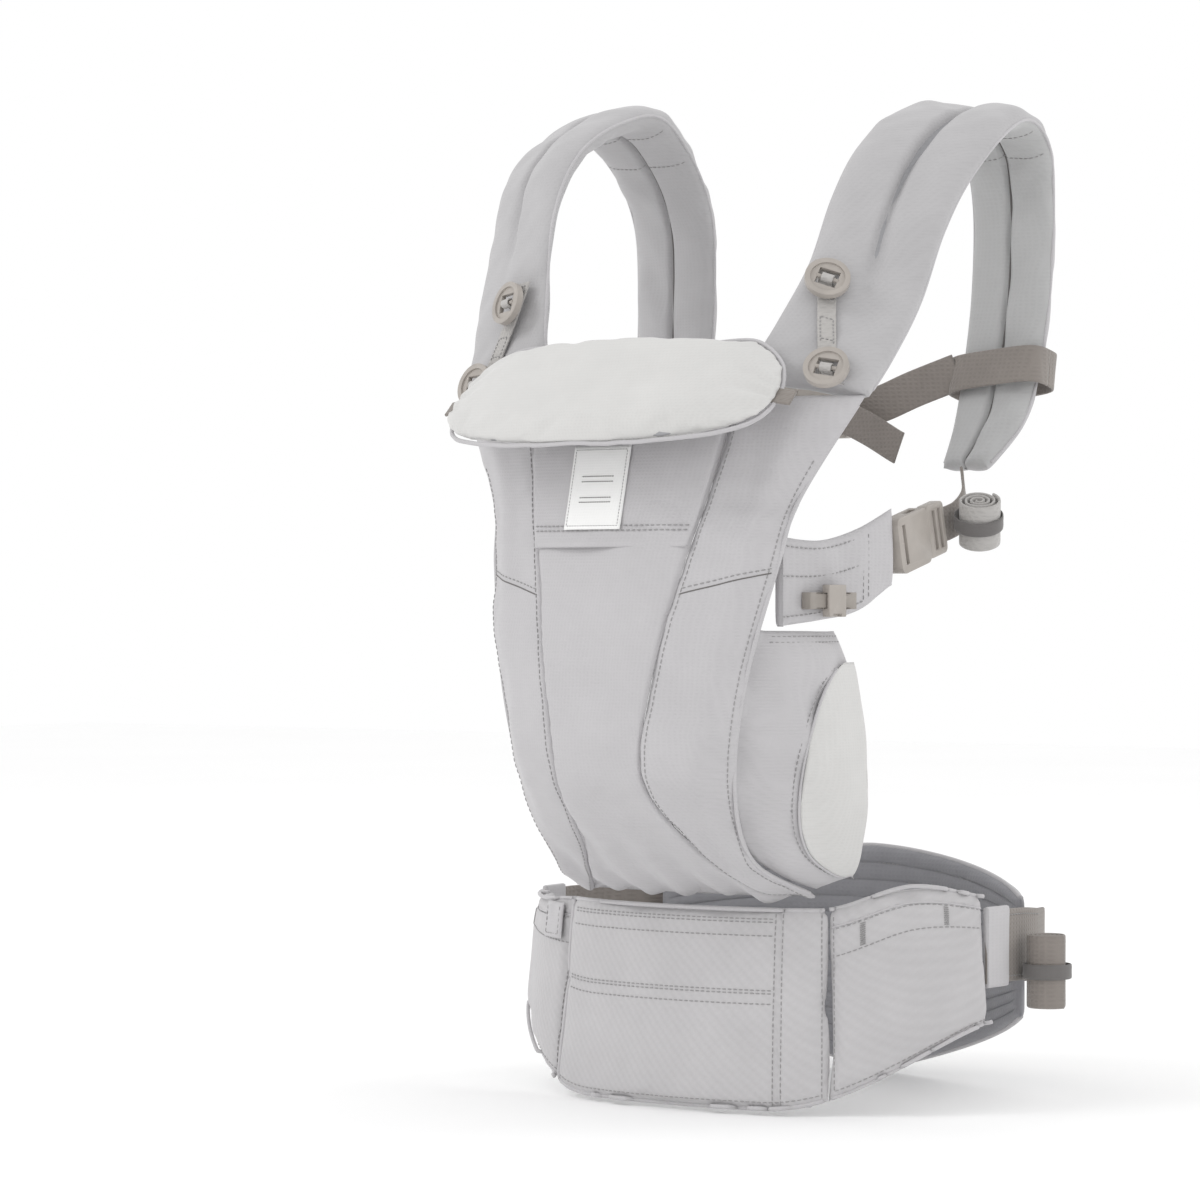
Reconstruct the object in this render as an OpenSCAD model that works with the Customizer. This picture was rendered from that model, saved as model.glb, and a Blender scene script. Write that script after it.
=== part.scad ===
// Soft baby carrier standing on its waist belt: front towards -Y, straps up.

/* [Waist belt] */
// Half of the belt ring's width, on its right-hand side
belt_half_right = 190; // [180:1:200]
// Half of the belt ring's width, on its left-hand side
belt_half_left = 178; // [170:1:200]
// Half of the belt ring's depth, front to back
belt_half_depth = 130; // [125:1:140]
// Height of the stiff front of the belt
belt_height = 138; // [130:1:145]
// Thickness of the padded belt
belt_thick = 14; // [12:1:16]
// Width of the waist webbing
waist_webbing = 50; // [38:1:52]

/* [Body] */
// Thickness of the centre panel
panel_thick = 5; // [4:1:7]
// Thickness of the side panels
side_thick = 6; // [5:1:8]
// Height of the centre panel's top edge
panel_top = 503; // [495:1:506]
// Width of the woven label
label_w = 46; // [30:1:50]
// Height of the woven label
label_h = 54; // [40:1:60]

/* [Shoulder straps] */
// Width of a padded shoulder strap
strap_w = 86; // [76:1:88]
// Thickness of a padded shoulder strap
strap_t = 20; // [16:1:22]

/* [Pillow] */
// Width of the head pillow from tip to tip
pillow_w = 258; // [236:1:264]
// Length of the head pillow from its fold to its free edge
pillow_l = 112; // [90:1:115]
// Thickness of the head pillow
pillow_t = 24; // [18:1:26]

/* [Hardware] */
// Outside diameter of a ring button
button_d = 30; // [26:1:32]
// Width of the chest and underarm webbing
small_webbing = 26; // [25:1:30]

/* [Hidden] */

$fn = 32;
gap = 0.4;
webbing_t = 2;
// Places the middle of the whole object's outline over the origin
centring = [-19.5, 57.2, 0];
// Angles round the belt, from its front centre towards the right
front_end = 33;
wing_end = 71;
lumbar_start = 122;

main_grey = [0.77, 0.76, 0.77];
lining_white = [0.86, 0.86, 0.85];
inner_grey = [0.6, 0.6, 0.61];
hardware_grey = [0.74, 0.71, 0.69];
webbing_grey = [0.56, 0.53, 0.5];
light_webbing = [0.72, 0.7, 0.69];

// Catmull-Rom curve through the points P, at s from 0 to len(P) - 1
function blend4(a, b, c, d, t) = 0.5 * (2 * b + (c - a) * t + (2 * a - 5 * b + 4 * c - d) * t * t
    + (3 * b - a - 3 * c + d) * t * t * t);
function curve(P, s) =
    let (n = len(P) - 1, i = max(0, min(floor(s), n - 1)), t = s - i)
    blend4(P[max(i - 1, 0)], P[i], P[i + 1], P[min(i + 2, n)], t);
function ease(t) = let (c = max(0, min(1, t))) c * c * (3 - 2 * c);
function flat_list(rows) = [for (r = rows) for (p = r) p];
function unit(v) = v / norm(v);

// Closed solid between an outer and an inner grid of points with the same rows and columns
module slab(outer, inner) {
    rows = len(outer);
    cols = len(outer[0]);
    n = rows * cols;
    rim = concat([for (j = [0:cols - 1]) j], [for (i = [1:rows - 1]) i * cols + cols - 1],
        [for (j = [cols - 2:-1:0]) (rows - 1) * cols + j], [for (i = [rows - 2:-1:1]) i * cols]);
    m = len(rim);
    faces = concat(
        [for (i = [0:rows - 2]) for (j = [0:cols - 2]) for (k = [0, 1])
            let (a = i * cols + j, b = a + 1, c = a + cols + 1, d = a + cols)
            k == 0 ? [a, b, c] : [a, c, d]],
        [for (i = [0:rows - 2]) for (j = [0:cols - 2]) for (k = [0, 1])
            let (a = n + i * cols + j, b = a + 1, c = a + cols + 1, d = a + cols)
            k == 0 ? [a, c, b] : [a, d, c]],
        [for (i = [0:m - 1]) for (k = [0, 1])
            let (a = rim[i], b = rim[(i + 1) % m])
            k == 0 ? [a, n + a, n + b] : [a, n + b, b]]);
    polyhedron(points = concat(flat_list(outer), flat_list(inner)), faces = faces);
}

// Closed solid through rings of points, with flat ends
module loft(rings) {
    rows = len(rings);
    cols = len(rings[0]);
    faces = concat(
        [[for (j = [cols - 1:-1:0]) j]],
        [for (i = [0:rows - 2]) for (j = [0:cols - 1]) for (k = [0, 1])
            let (a = i * cols + j, b = i * cols + (j + 1) % cols, c = b + cols, d = a + cols)
            k == 0 ? [a, b, c] : [a, c, d]],
        [[for (j = [0:cols - 1]) (rows - 1) * cols + j]]);
    polyhedron(points = flat_list(rings), faces = faces);
}

module mirrored() {
    mirror([1, 0, 0]) children();
}

// ---- waist belt ----
function belt_half(t) = sin(t) < 0 ? belt_half_left : belt_half_right;
function ring(t, off = 0) = [(belt_half(t) + off) * sin(t), -(belt_half_depth + off) * cos(t)];
function rise(t) = ease((abs(t) - 20) / 56);
function belt_low(t) = 60 * rise(t);
function belt_high(t) = belt_height + (t < 0 ? -4 : 16) * ease((abs(t) - 30) / 22)
    - (t < 0 ? 0 : 10) * ease((abs(t) - 52) / 24);
// The belt stands a little wider at its foot
function flare(z) = 14 * (1 - z / belt_height);

function belt_wall(t0, t1, n, off, inset) =
    [for (i = [0:n]) let (t = t0 + (t1 - t0) * i / n, lo = belt_low(t) + inset, hi = belt_high(t) - inset)
        [for (j = [0:4]) let (z = lo + (hi - lo) * j / 4, p = ring(t, off + flare(z))) [p[0], p[1], z]]];

module belt_pad(t0, t1, n, inset = 0) {
    slab(belt_wall(t0, t1, n, belt_thick / 2 - inset, inset),
        belt_wall(t0, t1, n, -belt_thick / 2 + inset, inset));
}

module belt_shell(t0, t1, n) {
    difference() {
        belt_pad(t0, t1, n);
        belt_pad(t0 + 1, t1 - 1, n, 2);
    }
}

module belt_front_cover() {
    color(main_grey) belt_shell(-front_end, front_end, 14);
}

module belt_front_foam() {
    color(inner_grey) belt_pad(-front_end + 1.3, front_end - 1.3, 14, 2.4);
}

module belt_wing_cover_right() {
    color(main_grey) belt_shell(front_end + 0.2, wing_end, 10);
}

module belt_wing_cover_left() {
    color(main_grey) belt_shell(-wing_end, -front_end - 0.2, 10);
}

module belt_wing_foam_right() {
    color(inner_grey) belt_pad(front_end + 1.5, wing_end - 1.3, 10, 2.4);
}

module belt_wing_foam_left() {
    color(inner_grey) belt_pad(-wing_end + 1.3, -front_end - 1.5, 10, 2.4);
}

function band(t0, t1, n, off, z0, z1) =
    [for (i = [0:n]) let (t = t0 + (t1 - t0) * i / n)
        [for (z = [z0, z1]) let (p = ring(t, off + flare(z))) [p[0], p[1], z]]];

module belt_pocket_flap() {
    color(main_grey) slab(band(-44, -35, 4, belt_thick / 2 + 3, 106, 131),
        band(-44, -35, 4, belt_thick / 2 + gap, 106, 131));
}

function lumbar_high(t) = 163 - 30 * pow(abs(t - 180) / 58, 1.5);
function lumbar_wall(n, off, inset) =
    [for (i = [0:n]) let (t = lumbar_start + inset / 2 + (360 - 2 * lumbar_start - inset) * i / n)
        let (side = abs(t - 180) / (180 - lumbar_start), lo = 53 * pow(side, 1.1) + inset)
        [for (j = [0:4]) let (z = lo + (lumbar_high(t) - inset - lo) * j / 4, p = ring(t, off))
            [p[0], p[1], z]]];

module lumbar_pad(inset) {
    slab(lumbar_wall(16, -2 - inset, inset), lumbar_wall(16, -16 + inset, inset));
}

module lumbar_cover() {
    color(inner_grey) difference() {
        lumbar_pad(0);
        lumbar_pad(2);
    }
}

module lumbar_foam() {
    color(inner_grey) lumbar_pad(2.4);
}

// Waist webbing: it leaves the wings, passes outside the lumbar pad and runs straight to the buckle.
// Each point is its place from above and the height of its lower edge.
buckle_y = 139;
web_low = 60;
web_right = [[185.2, -43.4, 84], [187, -20, 84], [184.5, 10, 83], [177, 45, 80], [163, 76, 78],
    [132, 103, 72], [98, 124, 66], [72, 135, 62], [52.6, buckle_y, web_low]];
web_left = [[-13.6, buckle_y, web_low], [-53, buckle_y, web_low], [-72, 135, 62], [-96, 124, 66],
    [-124, 103, 72], [-152, 76, 78], [-169, 42, 82], [-176, 4, 84], [-176, -22, 84], [-173.9, -43.4, 84]];
function web_wall(P, n, off) =
    [for (i = [0:n]) let (s = (len(P) - 1) * i / n, p = curve(P, s),
        a = curve(P, s - 0.02), b = curve(P, s + 0.02),
        d = unit([b[0] - a[0], b[1] - a[1]]))
        [for (e = [0, waist_webbing]) [p[0] + d[1] * off, p[1] - d[0] * off, p[2] + e]]];

module waist_webbing_right() {
    color(light_webbing) slab(web_wall(web_right, 28, webbing_t), web_wall(web_right, 28, 0));
}

module waist_webbing_left() {
    color(light_webbing) slab(web_wall(web_left, 30, webbing_t), web_wall(web_left, 30, 0));
}

// Webbing keepers sewn on the lumbar pad
keeper_deep = 16.8;
keeper_wall = 1.4;
module webbing_keeper(x, y, yaw) {
    tall = waist_webbing + 10;
    translate([x, y, 61]) rotate([0, 0, yaw]) difference() {
        translate([-8, -13.4, 0]) cube([16, keeper_deep + 1.6, tall]);
        translate([-9, keeper_wall - 13.4, keeper_wall])
            cube([18, keeper_deep + 1.6 - 2 * keeper_wall, tall - 2 * keeper_wall]);
    }
}

module lumbar_webbing_loops() {
    color(inner_grey) {
        webbing_keeper(98, 124, -28);
        webbing_keeper(-96, 124, 28);
    }
}

// ---- side-release buckles, which slide along -X to open ----
function rounded(l, w, r) = [for (c = [[l - r, w / 2 - r, 0], [r, w / 2 - r, 90], [r, r - w / 2, 180],
    [l - r, r - w / 2, 270]]) for (a = [0:15:90]) [c[0] + r * cos(c[2] + a), c[1] + r * sin(c[2] + a)]];

module plate(l, w, t, r) {
    translate([0, 0, -t / 2]) linear_extrude(t) polygon(rounded(l, w, r));
}

// Female half: mouth at x = 0, body towards +X, webbing slot at its far end
module buckle_female(web) {
    w = web + 12;
    color(hardware_grey) difference() {
        plate(40, w, 11, 5);
        translate([-1, -web / 2 - 2, -3]) cube([25, web + 4, 6]);
        translate([9, -w / 2 - 1, -2.6]) cube([12, w + 2, 5.2]);
        translate([30, -web / 2 - 0.5, -6]) cube([4, web + 1, 12]);
        translate([5, -web / 5, 3]) cube([14, web / 2.5, 4]);
    }
}

// Male half: its base stands outside the mouth, its prongs reach in
module buckle_male(web) {
    w = web + 10;
    color(hardware_grey) {
        difference() {
            translate([-25, 0, 0]) plate(24.4, w, 8, 4);
            translate([-21, -web / 2 - 0.5, -5]) cube([4, web + 1, 10]);
            translate([-13.5, -web / 2 - 0.5, -5]) cube([4, web + 1, 10]);
        }
        translate([-1, -3.4, -2.2]) cube([20, 6.8, 4.4]);
        for (s = [-1, 1]) translate([-1, s * (web / 2 - 1.8) - 2, -2.2]) {
            cube([21, 4, 4.4]);
            translate([12, s > 0 ? 2 : -1, 0]) cube([6, 3, 4.4]);
        }
    }
}

buckle_mouth = 12;
module waist_buckle_place() {
    translate([buckle_mouth, buckle_y + 3.5, web_low + waist_webbing / 2]) rotate([90, 0, 0]) children();
}

module waist_buckle_female() {
    waist_buckle_place() buckle_female(waist_webbing);
}

module waist_buckle_male() {
    waist_buckle_place() buckle_male(waist_webbing);
}

// Rolled webbing tail: a coil of flat webbing standing on its edge
module web_roll(d, h) {
    difference() {
        cylinder(d = d, h = h, $fn = 40);
        translate([0, 0, -1]) cylinder(d = 4, h = h + 2);
    }
}

module waist_tail_roll() {
    color(webbing_grey) translate([204.5, 6, 66]) web_roll(30, waist_webbing);
}

module waist_tail_elastic() {
    color(webbing_grey) translate([204.5, 6, 86]) difference() {
        cylinder(d = 34, h = 10, $fn = 40);
        translate([0, 0, -1]) cylinder(d = 30 + 2 * gap, h = 12, $fn = 40);
    }
}

// ---- body panels ----
// height, half width, edge depth, centre depth, seam place
stations = [[141, 95, -114, -128, 80], [167, 80, -168, -172, 50], [218, 86, -197, -230, 34],
    [285, 98, -204, -236, 42], [362, 114, -190, -224, 58], [405, 123, -178, -214, 68],
    [470, 158, -158, -196, 80]];
last_station = len(stations) - 1;
function front_at(s, x) = let (q = curve(stations, s))
    [x, q[3] + (q[2] - q[3]) * pow(min(1, abs(x) / q[1]), 2.2), q[0]];
function pushed(grid, v) = [for (r = grid) [for (p = r) p + v]];

function panel_grid(a, b, n, m, from, to) =
    [for (i = [0:n]) let (s = a + (b - a) * i / n, q = curve(stations, s))
        let (x0 = from == 1 ? q[4] + gap / 2 : -q[4] + gap / 2, x1 = to == 1 ? q[1] : q[4] - gap / 2)
        [for (j = [0:m]) front_at(s, x0 + (x1 - x0) * j / m)]];

// The centre panel's top goes on above the side panels, between the straps
function top_row(z, w, m) = [for (j = [0:m]) let (x = -w + 2 * w * j / m)
    [x, -196 + 28 * (z - 470) / 35 + 16 * pow(abs(x) / 80, 2.2), z]];

module centre_panel() {
    outer = concat(panel_grid(0, last_station, 18, 10, 0, 0),
        [top_row(488, 76, 10), top_row(panel_top, 66, 10)]);
    color(main_grey) slab(pushed(outer, [0, panel_thick, 0]), outer);
}

module side_panel() {
    outer = panel_grid(0, last_station, 18, 5, 1, 1);
    color(main_grey) slab(pushed(outer, [0, side_thick, 0]), outer);
}

module side_panel_right() {
    side_panel();
}

module side_panel_left() {
    mirrored() side_panel();
}

band_low = 4.25;
module label_band() {
    outer = concat(panel_grid(band_low, last_station, 6, 8, 0, 0), [top_row(486, 76, 8)]);
    color(main_grey) slab(pushed(outer, [0, -2 * gap, 0]), pushed(outer, [0, -2 * gap - 1.5, 0]));
}

module woven_label() {
    z0 = 386;
    face = [for (i = [0:4]) let (z = z0 + label_h * i / 4) [for (j = [0:4])
        let (x = -10 - label_w / 2 + label_w * j / 4, s = 4 + (z - 362) / 43,
            k = z <= 405 ? s : 5 + (z - 405) / 65) front_at(k, x)]];
    color(lining_white) slab(pushed(face, [0, -3.2, 0]), pushed(face, [0, -4.4, 0]));
}

// ---- seat wings ----
// height, front x, front y, rear x, rear y, bulge
wing_stations = [[147, 96, -108, 116, -100, 2], [172, 80, -156, 119, -95, 9], [218, 83, -186, 120, -89, 15],
    [285, 93, -191, 116, -95, 12], [320, 99, -181, 109, -109, 7]];
function wing_at(u, s, off = 0) =
    let (q = curve(wing_stations, u), a = [q[1], q[2]], b = [q[3], q[4]], d = unit(b - a), n = [d[1], -d[0]],
        p = a + (b - a) * s + n * (q[5] * sin(180 * s) + off)) [p[0], p[1], q[0] + 10 * s * max(0, 1 - u)];
function wing_grid(off) = [for (i = [0:12]) [for (j = [0:8]) wing_at(4 * i / 12, j / 8, off)]];

module seat_wing() {
    color(main_grey) slab(wing_grid(-5), wing_grid(0));
}

module seat_wing_right() {
    seat_wing();
}

module seat_wing_left() {
    mirrored() seat_wing();
}

// The lining shows as a lens along the wing's rear edge
function lens_start(u) = 1 - 0.64 * sqrt(max(0.004, 1 - pow((u - 1.72) / 1.62, 2)));
function lens_grid(off) = [for (i = [0:10]) let (u = 0.12 + 3.18 * i / 10, s0 = lens_start(u))
    [for (j = [0:5]) wing_at(u, s0 + (1 - s0) * j / 5, off)]];

module seat_lining() {
    color(lining_white) slab(lens_grid(2.5 * gap), lens_grid(2.5 * gap + 1.6));
}

module seat_lining_right() {
    seat_lining();
}

module seat_lining_left() {
    mirrored() seat_lining();
}

// ---- underarm wings, their sliders and buckles ----
// depth, x, low edge, high edge
arm_stations = [[-176, 109, 323, 381], [-140, 117, 327, 379], [-104, 124, 333, 387], [-68, 129, 350, 401]];
function arm_at(s, e, off) = let (q = curve(arm_stations, s)) [q[1] + off, q[0], q[2] + (q[3] - q[2]) * e];
function arm_grid(off) = [for (i = [0:12]) [for (j = [0:3]) arm_at(3 * i / 12, j / 3, off)]];

module underarm_wing() {
    color(main_grey) slab(arm_grid(0), arm_grid(-5));
}

track_y = -160;
track_x = 114.3;
track_z = 334;
module underarm_track() {
    color(light_webbing) translate([track_x, track_y, track_z]) rotate([0, 0, -12]) {
        cube([2, 44, 11]);
        for (y = [0, 38]) translate([-1, y, 0]) cube([8, 6, 11]);
        translate([5, 0, 1]) cube([2, 44, 9]);
    }
}

// A flat plastic slider that rides on the track's outer webbing
module underarm_slider() {
    color(hardware_grey) translate([track_x, track_y, track_z]) rotate([0, 0, -12]) translate([0, 15, 0])
        difference() {
            translate([3.4, 0, -5]) cube([6.4, 16, 21]);
            translate([4.5, -1, 0.5]) cube([3, 18, 10]);
            translate([6, 4, -6]) cube([8, 8, 3]);
        }
}

arm_tilt = 14;
module arm_buckle_place() {
    translate([126.5, -26, 384.7]) rotate([arm_tilt, 0, 0]) rotate([0, 0, -90]) rotate([90, 0, 0]) children();
}

module underarm_buckle_female() {
    arm_buckle_place() buckle_female(small_webbing);
}

module underarm_buckle_male() {
    arm_buckle_place() buckle_male(small_webbing);
}

// Route of the webbing from the buckle to the tip of the shoulder strap, and its tilt
function arm_web(side) = side > 0
    ? [[126.5, 0.4, 391], [126.5, 20, 396], [124, 36, 404], [116, 50, 415], [110, 58, 424]]
    : [[126.5, 0.4, 391], [126, 10, 394], [123, 20, 401], [118, 29, 413], [114, 36, 424]];
function web_sweep(P, n, w, t, wide) = [for (i = [0:n]) let (s = (len(P) - 1) * i / n, p = curve(P, s),
    d = unit(curve(P, s + 0.01) - curve(P, s - 0.01)), h = unit(cross(d, wide)), v = cross(h, d))
    [for (c = [[1, 1], [1, -1], [-1, -1], [-1, 1]]) p + v * c[0] * w / 2 + h * c[1] * t / 2]];

module underarm_webbing_right() {
    color(light_webbing) loft(web_sweep(arm_web(1), 12, small_webbing - 2, webbing_t, [0, 0.24, -0.97]));
}

module underarm_webbing_left() {
    color(light_webbing) mirrored()
        loft(web_sweep(arm_web(-1), 12, small_webbing - 2, webbing_t, [0, 0.24, -0.97]));
}

module arm_roll_place() {
    translate([145.5, 12, 379]) rotate([-20, 0, 0]) children();
}

module underarm_roll() {
    color(webbing_grey) arm_roll_place() web_roll(26, small_webbing + 6);
}

module underarm_roll_elastic() {
    color(webbing_grey) arm_roll_place() translate([0, 0, 11]) difference() {
        cylinder(d = 29, h = 9, $fn = 40);
        translate([0, 0, -1]) cylinder(d = 26 + 2 * gap, h = 11, $fn = 40);
    }
}

// ---- shoulder straps ----
// x, y, z, width share, turn in degrees: from the side panel's top over the shoulder to the rear tip
strap_right = [[119, -163, 478, 1, 15], [127, -142, 508, 0.94, 25], [132, -111, 548, 0.9, 32],
    [135, -86, 595, 0.9, 32], [136, -55, 631, 0.92, 26], [136, -10, 660, 0.95, 14], [132, 45, 672, 0.88, 4],
    [128, 88, 656, 0.8, 0], [125, 105, 618, 0.74, 0], [124, 104, 560, 0.72, 0], [123, 93, 505, 0.7, 0],
    [120, 78, 462, 0.62, 0], [110, 62, 432, 0.4, 0]];
strap_left = [[119, -163, 478, 1, 12], [126, -153, 508, 0.94, 18], [130, -140, 550, 0.9, 22],
    [133, -126, 600, 0.9, 24], [136, -98, 640, 0.9, 20], [136, -54, 668, 0.92, 12], [136, -6, 680, 0.9, 4],
    [136, 40, 654, 0.84, 0], [136, 66, 615, 0.79, 0], [136, 70, 560, 0.77, 0], [135, 65, 505, 0.74, 0],
    [128, 53, 462, 0.66, 0], [115, 40, 432, 0.42, 0]];
// Directions at s: across the strap, out of its outer face, and along it
function strap_axes(R, s) =
    let (a = curve(R, s - 0.02), b = curve(R, s + 0.02), turn = curve(R, s)[4],
        d = unit([0, b[1] - a[1], b[2] - a[2]]), n = [0, -d[2], d[1]])
    [[1, 0, 0] * cos(turn) - n * sin(turn), n * cos(turn) + [1, 0, 0] * sin(turn), d];
function strap_ring(R, s, w, t) =
    let (q = curve(R, s), A = strap_axes(R, s), p = [q[0], q[1], q[2]])
    [for (k = [0:13]) let (f = 360 * k / 14, c = cos(f), g = sin(f))
        p + A[0] * sign(c) * pow(abs(c), 0.6) * q[3] * w / 2 + A[1] * sign(g) * pow(abs(g), 0.6) * t / 2];
function strap_rings(R, s0, s1, n, w, t) = [for (i = [0:n]) strap_ring(R, s0 + (s1 - s0) * i / n, w, t)];

module strap_cover(R) {
    color(main_grey) difference() {
        loft(strap_rings(R, 0, 12, 30, strap_w, strap_t));
        loft(strap_rings(R, 0.4, 11.2, 27, strap_w - 6, strap_t - 5));
    }
}

module strap_foam(R) {
    color(inner_grey) loft(strap_rings(R, 0.5, 11.1, 27, strap_w - 8, strap_t - 6.4));
}

// ---- ring buttons and the strips that carry them ----
// Each strip lies in front of its strap; x shift and path place of its two ends
function strip_at(R, s, shift, off) = let (q = curve(R, s), A = strap_axes(R, s))
    [q[0], q[1], q[2]] + A[0] * shift + A[1] * off;
strip_s0 = 0.1;
strip_s1 = 2;
strip_w = 13;
function strip_shift(s) = 17 - 24 * (s - strip_s0);
function strip_grid(R, off) = [for (i = [0:10]) let (s = strip_s0 + (strip_s1 - strip_s0) * i / 10)
    [for (c = [-1, 1]) strip_at(R, s, strip_shift(s) + c * strip_w / 2, off)]];

pin_r = 1.5;
hinge_off = 9;
lower_s = 0.2;
upper_s = 1.66;
function button_place(R, s) = strip_at(R, s, strip_shift(s), strap_t / 2 + hinge_off);

module at_button(R, s) {
    A = strap_axes(R, s);
    P = button_place(R, s);
    multmatrix([for (i = [0:2]) [A[0][i], -A[1][i], A[2][i], P[i]]]) children();
}

// The strip's webbing loop round a button's bar
module strip_loop() {
    rotate([0, 90, 0]) difference() {
        cylinder(r = pin_r + 1.3, h = 8, center = true);
        cylinder(r = pin_r + 0.3, h = 9, center = true);
    }
    translate([-4, pin_r + 0.9, -2.4]) cube([8, hinge_off - pin_r - 2.4, 4.8]);
}

module button_strip(R) {
    color(light_webbing) {
        slab(strip_grid(R, strap_t / 2 + gap), strip_grid(R, strap_t / 2 + gap + 1.4));
        for (s = [lower_s, upper_s]) at_button(R, s) strip_loop();
    }
}

// A ring with a window, and a bar across the window that the strip's loop holds
module ring_button() {
    color(hardware_grey) {
        difference() {
            rotate([90, 0, 0]) cylinder(d = button_d, h = 4.6, center = true, $fn = 48);
            translate([0, -button_d * 0.98, 0]) rotate([90, 0, 0])
                cylinder(d = button_d - 7, h = button_d * 2 - 4.6 + 1.4, center = true, $fn = 48);
            cube([14, 10, 13], center = true);
        }
        rotate([0, 90, 0]) cylinder(r = pin_r, h = 14.6, center = true);
    }
}

// ---- chest strap ----

// A flat webbing loop round the rear of a shoulder strap
module chest_loop(x, y, z, lean, wide) {
    translate([x, y, z]) rotate([-lean, 0, 0]) difference() {
        translate([-wide / 2, -21, -small_webbing / 2]) cube([wide, 42, small_webbing]);
        translate([2 - wide / 2, -19, -small_webbing]) cube([wide - 4, 38, 2 * small_webbing]);
    }
}

chest_mouth = [-22, 57.5, 474];
chest_yaw = 8.4;
module chest_buckle_place() {
    translate(chest_mouth) rotate([0, 0, chest_yaw]) rotate([90, 0, 0]) children();
}

module chest_webbing_right() {
    color(webbing_grey) {
        chest_loop(123, 92, 498, 11, 74);
        loft(web_sweep([[86, 76, 498], [64, 72, 490], [40, 67.2, 479], [20.2, 63.9, 474]], 8, small_webbing,
            webbing_t, [0, 0, -1]));
    }
}

module chest_webbing_left() {
    color(webbing_grey) {
        chest_loop(-137, 64, 485, 11, 80);
        loft(web_sweep([[-47.8, 53.7, 474], [-64, 51.2, 475], [-80, 48.6, 479], [-97, 46.5, 485]], 8,
            small_webbing, webbing_t, [0, 0, -1]));
    }
}

module chest_buckle_female() {
    chest_buckle_place() buckle_female(small_webbing);
}

module chest_buckle_male() {
    chest_buckle_place() buckle_male(small_webbing);
}

module chest_tail_tab() {
    color(webbing_grey) {
        loft(web_sweep([[16, 54.4, 470], [38, 52.6, 460], [58, 51.5, 449]], 5, small_webbing - 2, webbing_t,
            [0, 0, -1]));
        translate([50, 49, 438]) rotate([0, 27, 0]) cube([10, 5, small_webbing - 1]);
    }
}

// ---- head pillow, folded forward over the panel's top ----
fold_y = -178;
fold_z = 514;
pillow_pitch = 47;
// Outline share at u from the fold (0) to the free edge (1)
function pillow_half(u) = pillow_w / 2 * pow(max(0.001, 1 - pow(abs(2 * u - 0.86) / 1.16, 2.6)), 0.5);
// The ends bend back round the head
function pillow_bow(x, u) = 14 * pow(2 * x / pillow_w, 2) * sqrt(sin(180 * min(1, max(0, u))));
function pillow_ring(u, inset) =
    let (h = pillow_half(u) - inset,
        t = (pillow_t - 2 * inset) * pow(sin(180 * min(0.97, max(0.03, u))), 0.45))
    [for (k = [0:15]) let (f = 360 * k / 16, c = cos(f), g = sin(f))
        let (x = sign(c) * pow(abs(c), 0.75) * h)
        [x, sign(g) * pow(abs(g), 0.8) * t / 2 + pillow_bow(x, u), -u * pillow_l]];

module pillow_solid(inset) {
    a = inset / pillow_l;
    translate([-4, fold_y, fold_z]) rotate([-pillow_pitch, 0, 0])
        loft([for (i = [0:12]) pillow_ring(0.005 + a + (0.99 - 2 * a) * i / 12, inset)]);
}

module pillow_cover() {
    color(lining_white) difference() {
        pillow_solid(0);
        pillow_solid(2.5);
    }
}

module pillow_foam() {
    color(inner_grey) pillow_solid(3.2);
}

module pillow_tabs() {
    color(light_webbing) translate([-4, fold_y, fold_z]) rotate([-pillow_pitch, 0, 0]) for (s = [-1, 1])
        translate([s * (pillow_w / 2 + 4), 14, -pillow_l * 0.43]) cube([13, 2, 14], center = true);
}

module placed() {
    translate(centring) children();
}

placed() belt_front_cover();
placed() belt_front_foam();
placed() belt_wing_cover_right();
placed() belt_wing_cover_left();
placed() belt_wing_foam_right();
placed() belt_wing_foam_left();
placed() belt_pocket_flap();
placed() lumbar_cover();
placed() lumbar_foam();
placed() lumbar_webbing_loops();
placed() waist_webbing_right();
placed() waist_webbing_left();
placed() waist_tail_roll();
placed() waist_tail_elastic();
placed() waist_buckle_female();
placed() waist_buckle_male();
placed() centre_panel();
placed() side_panel_right();
placed() side_panel_left();
placed() label_band();
placed() woven_label();
placed() seat_wing_right();
placed() seat_wing_left();
placed() seat_lining_right();
placed() seat_lining_left();
placed() underarm_wing();  // underarm_wing_right
placed() mirrored() underarm_wing();  // underarm_wing_left
placed() underarm_track();  // underarm_track_right
placed() mirrored() underarm_track();  // underarm_track_left
placed() underarm_slider();  // underarm_slider_right
placed() mirrored() underarm_slider();  // underarm_slider_left
placed() underarm_buckle_female();  // underarm_buckle_female_right
placed() mirrored() underarm_buckle_female();  // underarm_buckle_female_left
placed() underarm_buckle_male();  // underarm_buckle_male_right
placed() mirrored() underarm_buckle_male();  // underarm_buckle_male_left
placed() underarm_webbing_right();
placed() underarm_webbing_left();
placed() underarm_roll();  // underarm_roll_right
placed() mirrored() underarm_roll();  // underarm_roll_left
placed() underarm_roll_elastic();  // underarm_roll_elastic_right
placed() mirrored() underarm_roll_elastic();  // underarm_roll_elastic_left
placed() strap_cover(strap_right);  // shoulder_strap_cover_right
placed() mirrored() strap_cover(strap_left);  // shoulder_strap_cover_left
placed() strap_foam(strap_right);  // shoulder_strap_foam_right
placed() mirrored() strap_foam(strap_left);  // shoulder_strap_foam_left
placed() button_strip(strap_right);  // button_strip_right
placed() mirrored() button_strip(strap_left);  // button_strip_left
placed() at_button(strap_right, upper_s) ring_button();  // ring_button_upper_right
placed() mirrored() at_button(strap_left, upper_s) ring_button();  // ring_button_upper_left
placed() at_button(strap_right, lower_s) ring_button();  // ring_button_lower_right
placed() mirrored() at_button(strap_left, lower_s) ring_button();  // ring_button_lower_left
placed() chest_webbing_right();
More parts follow.
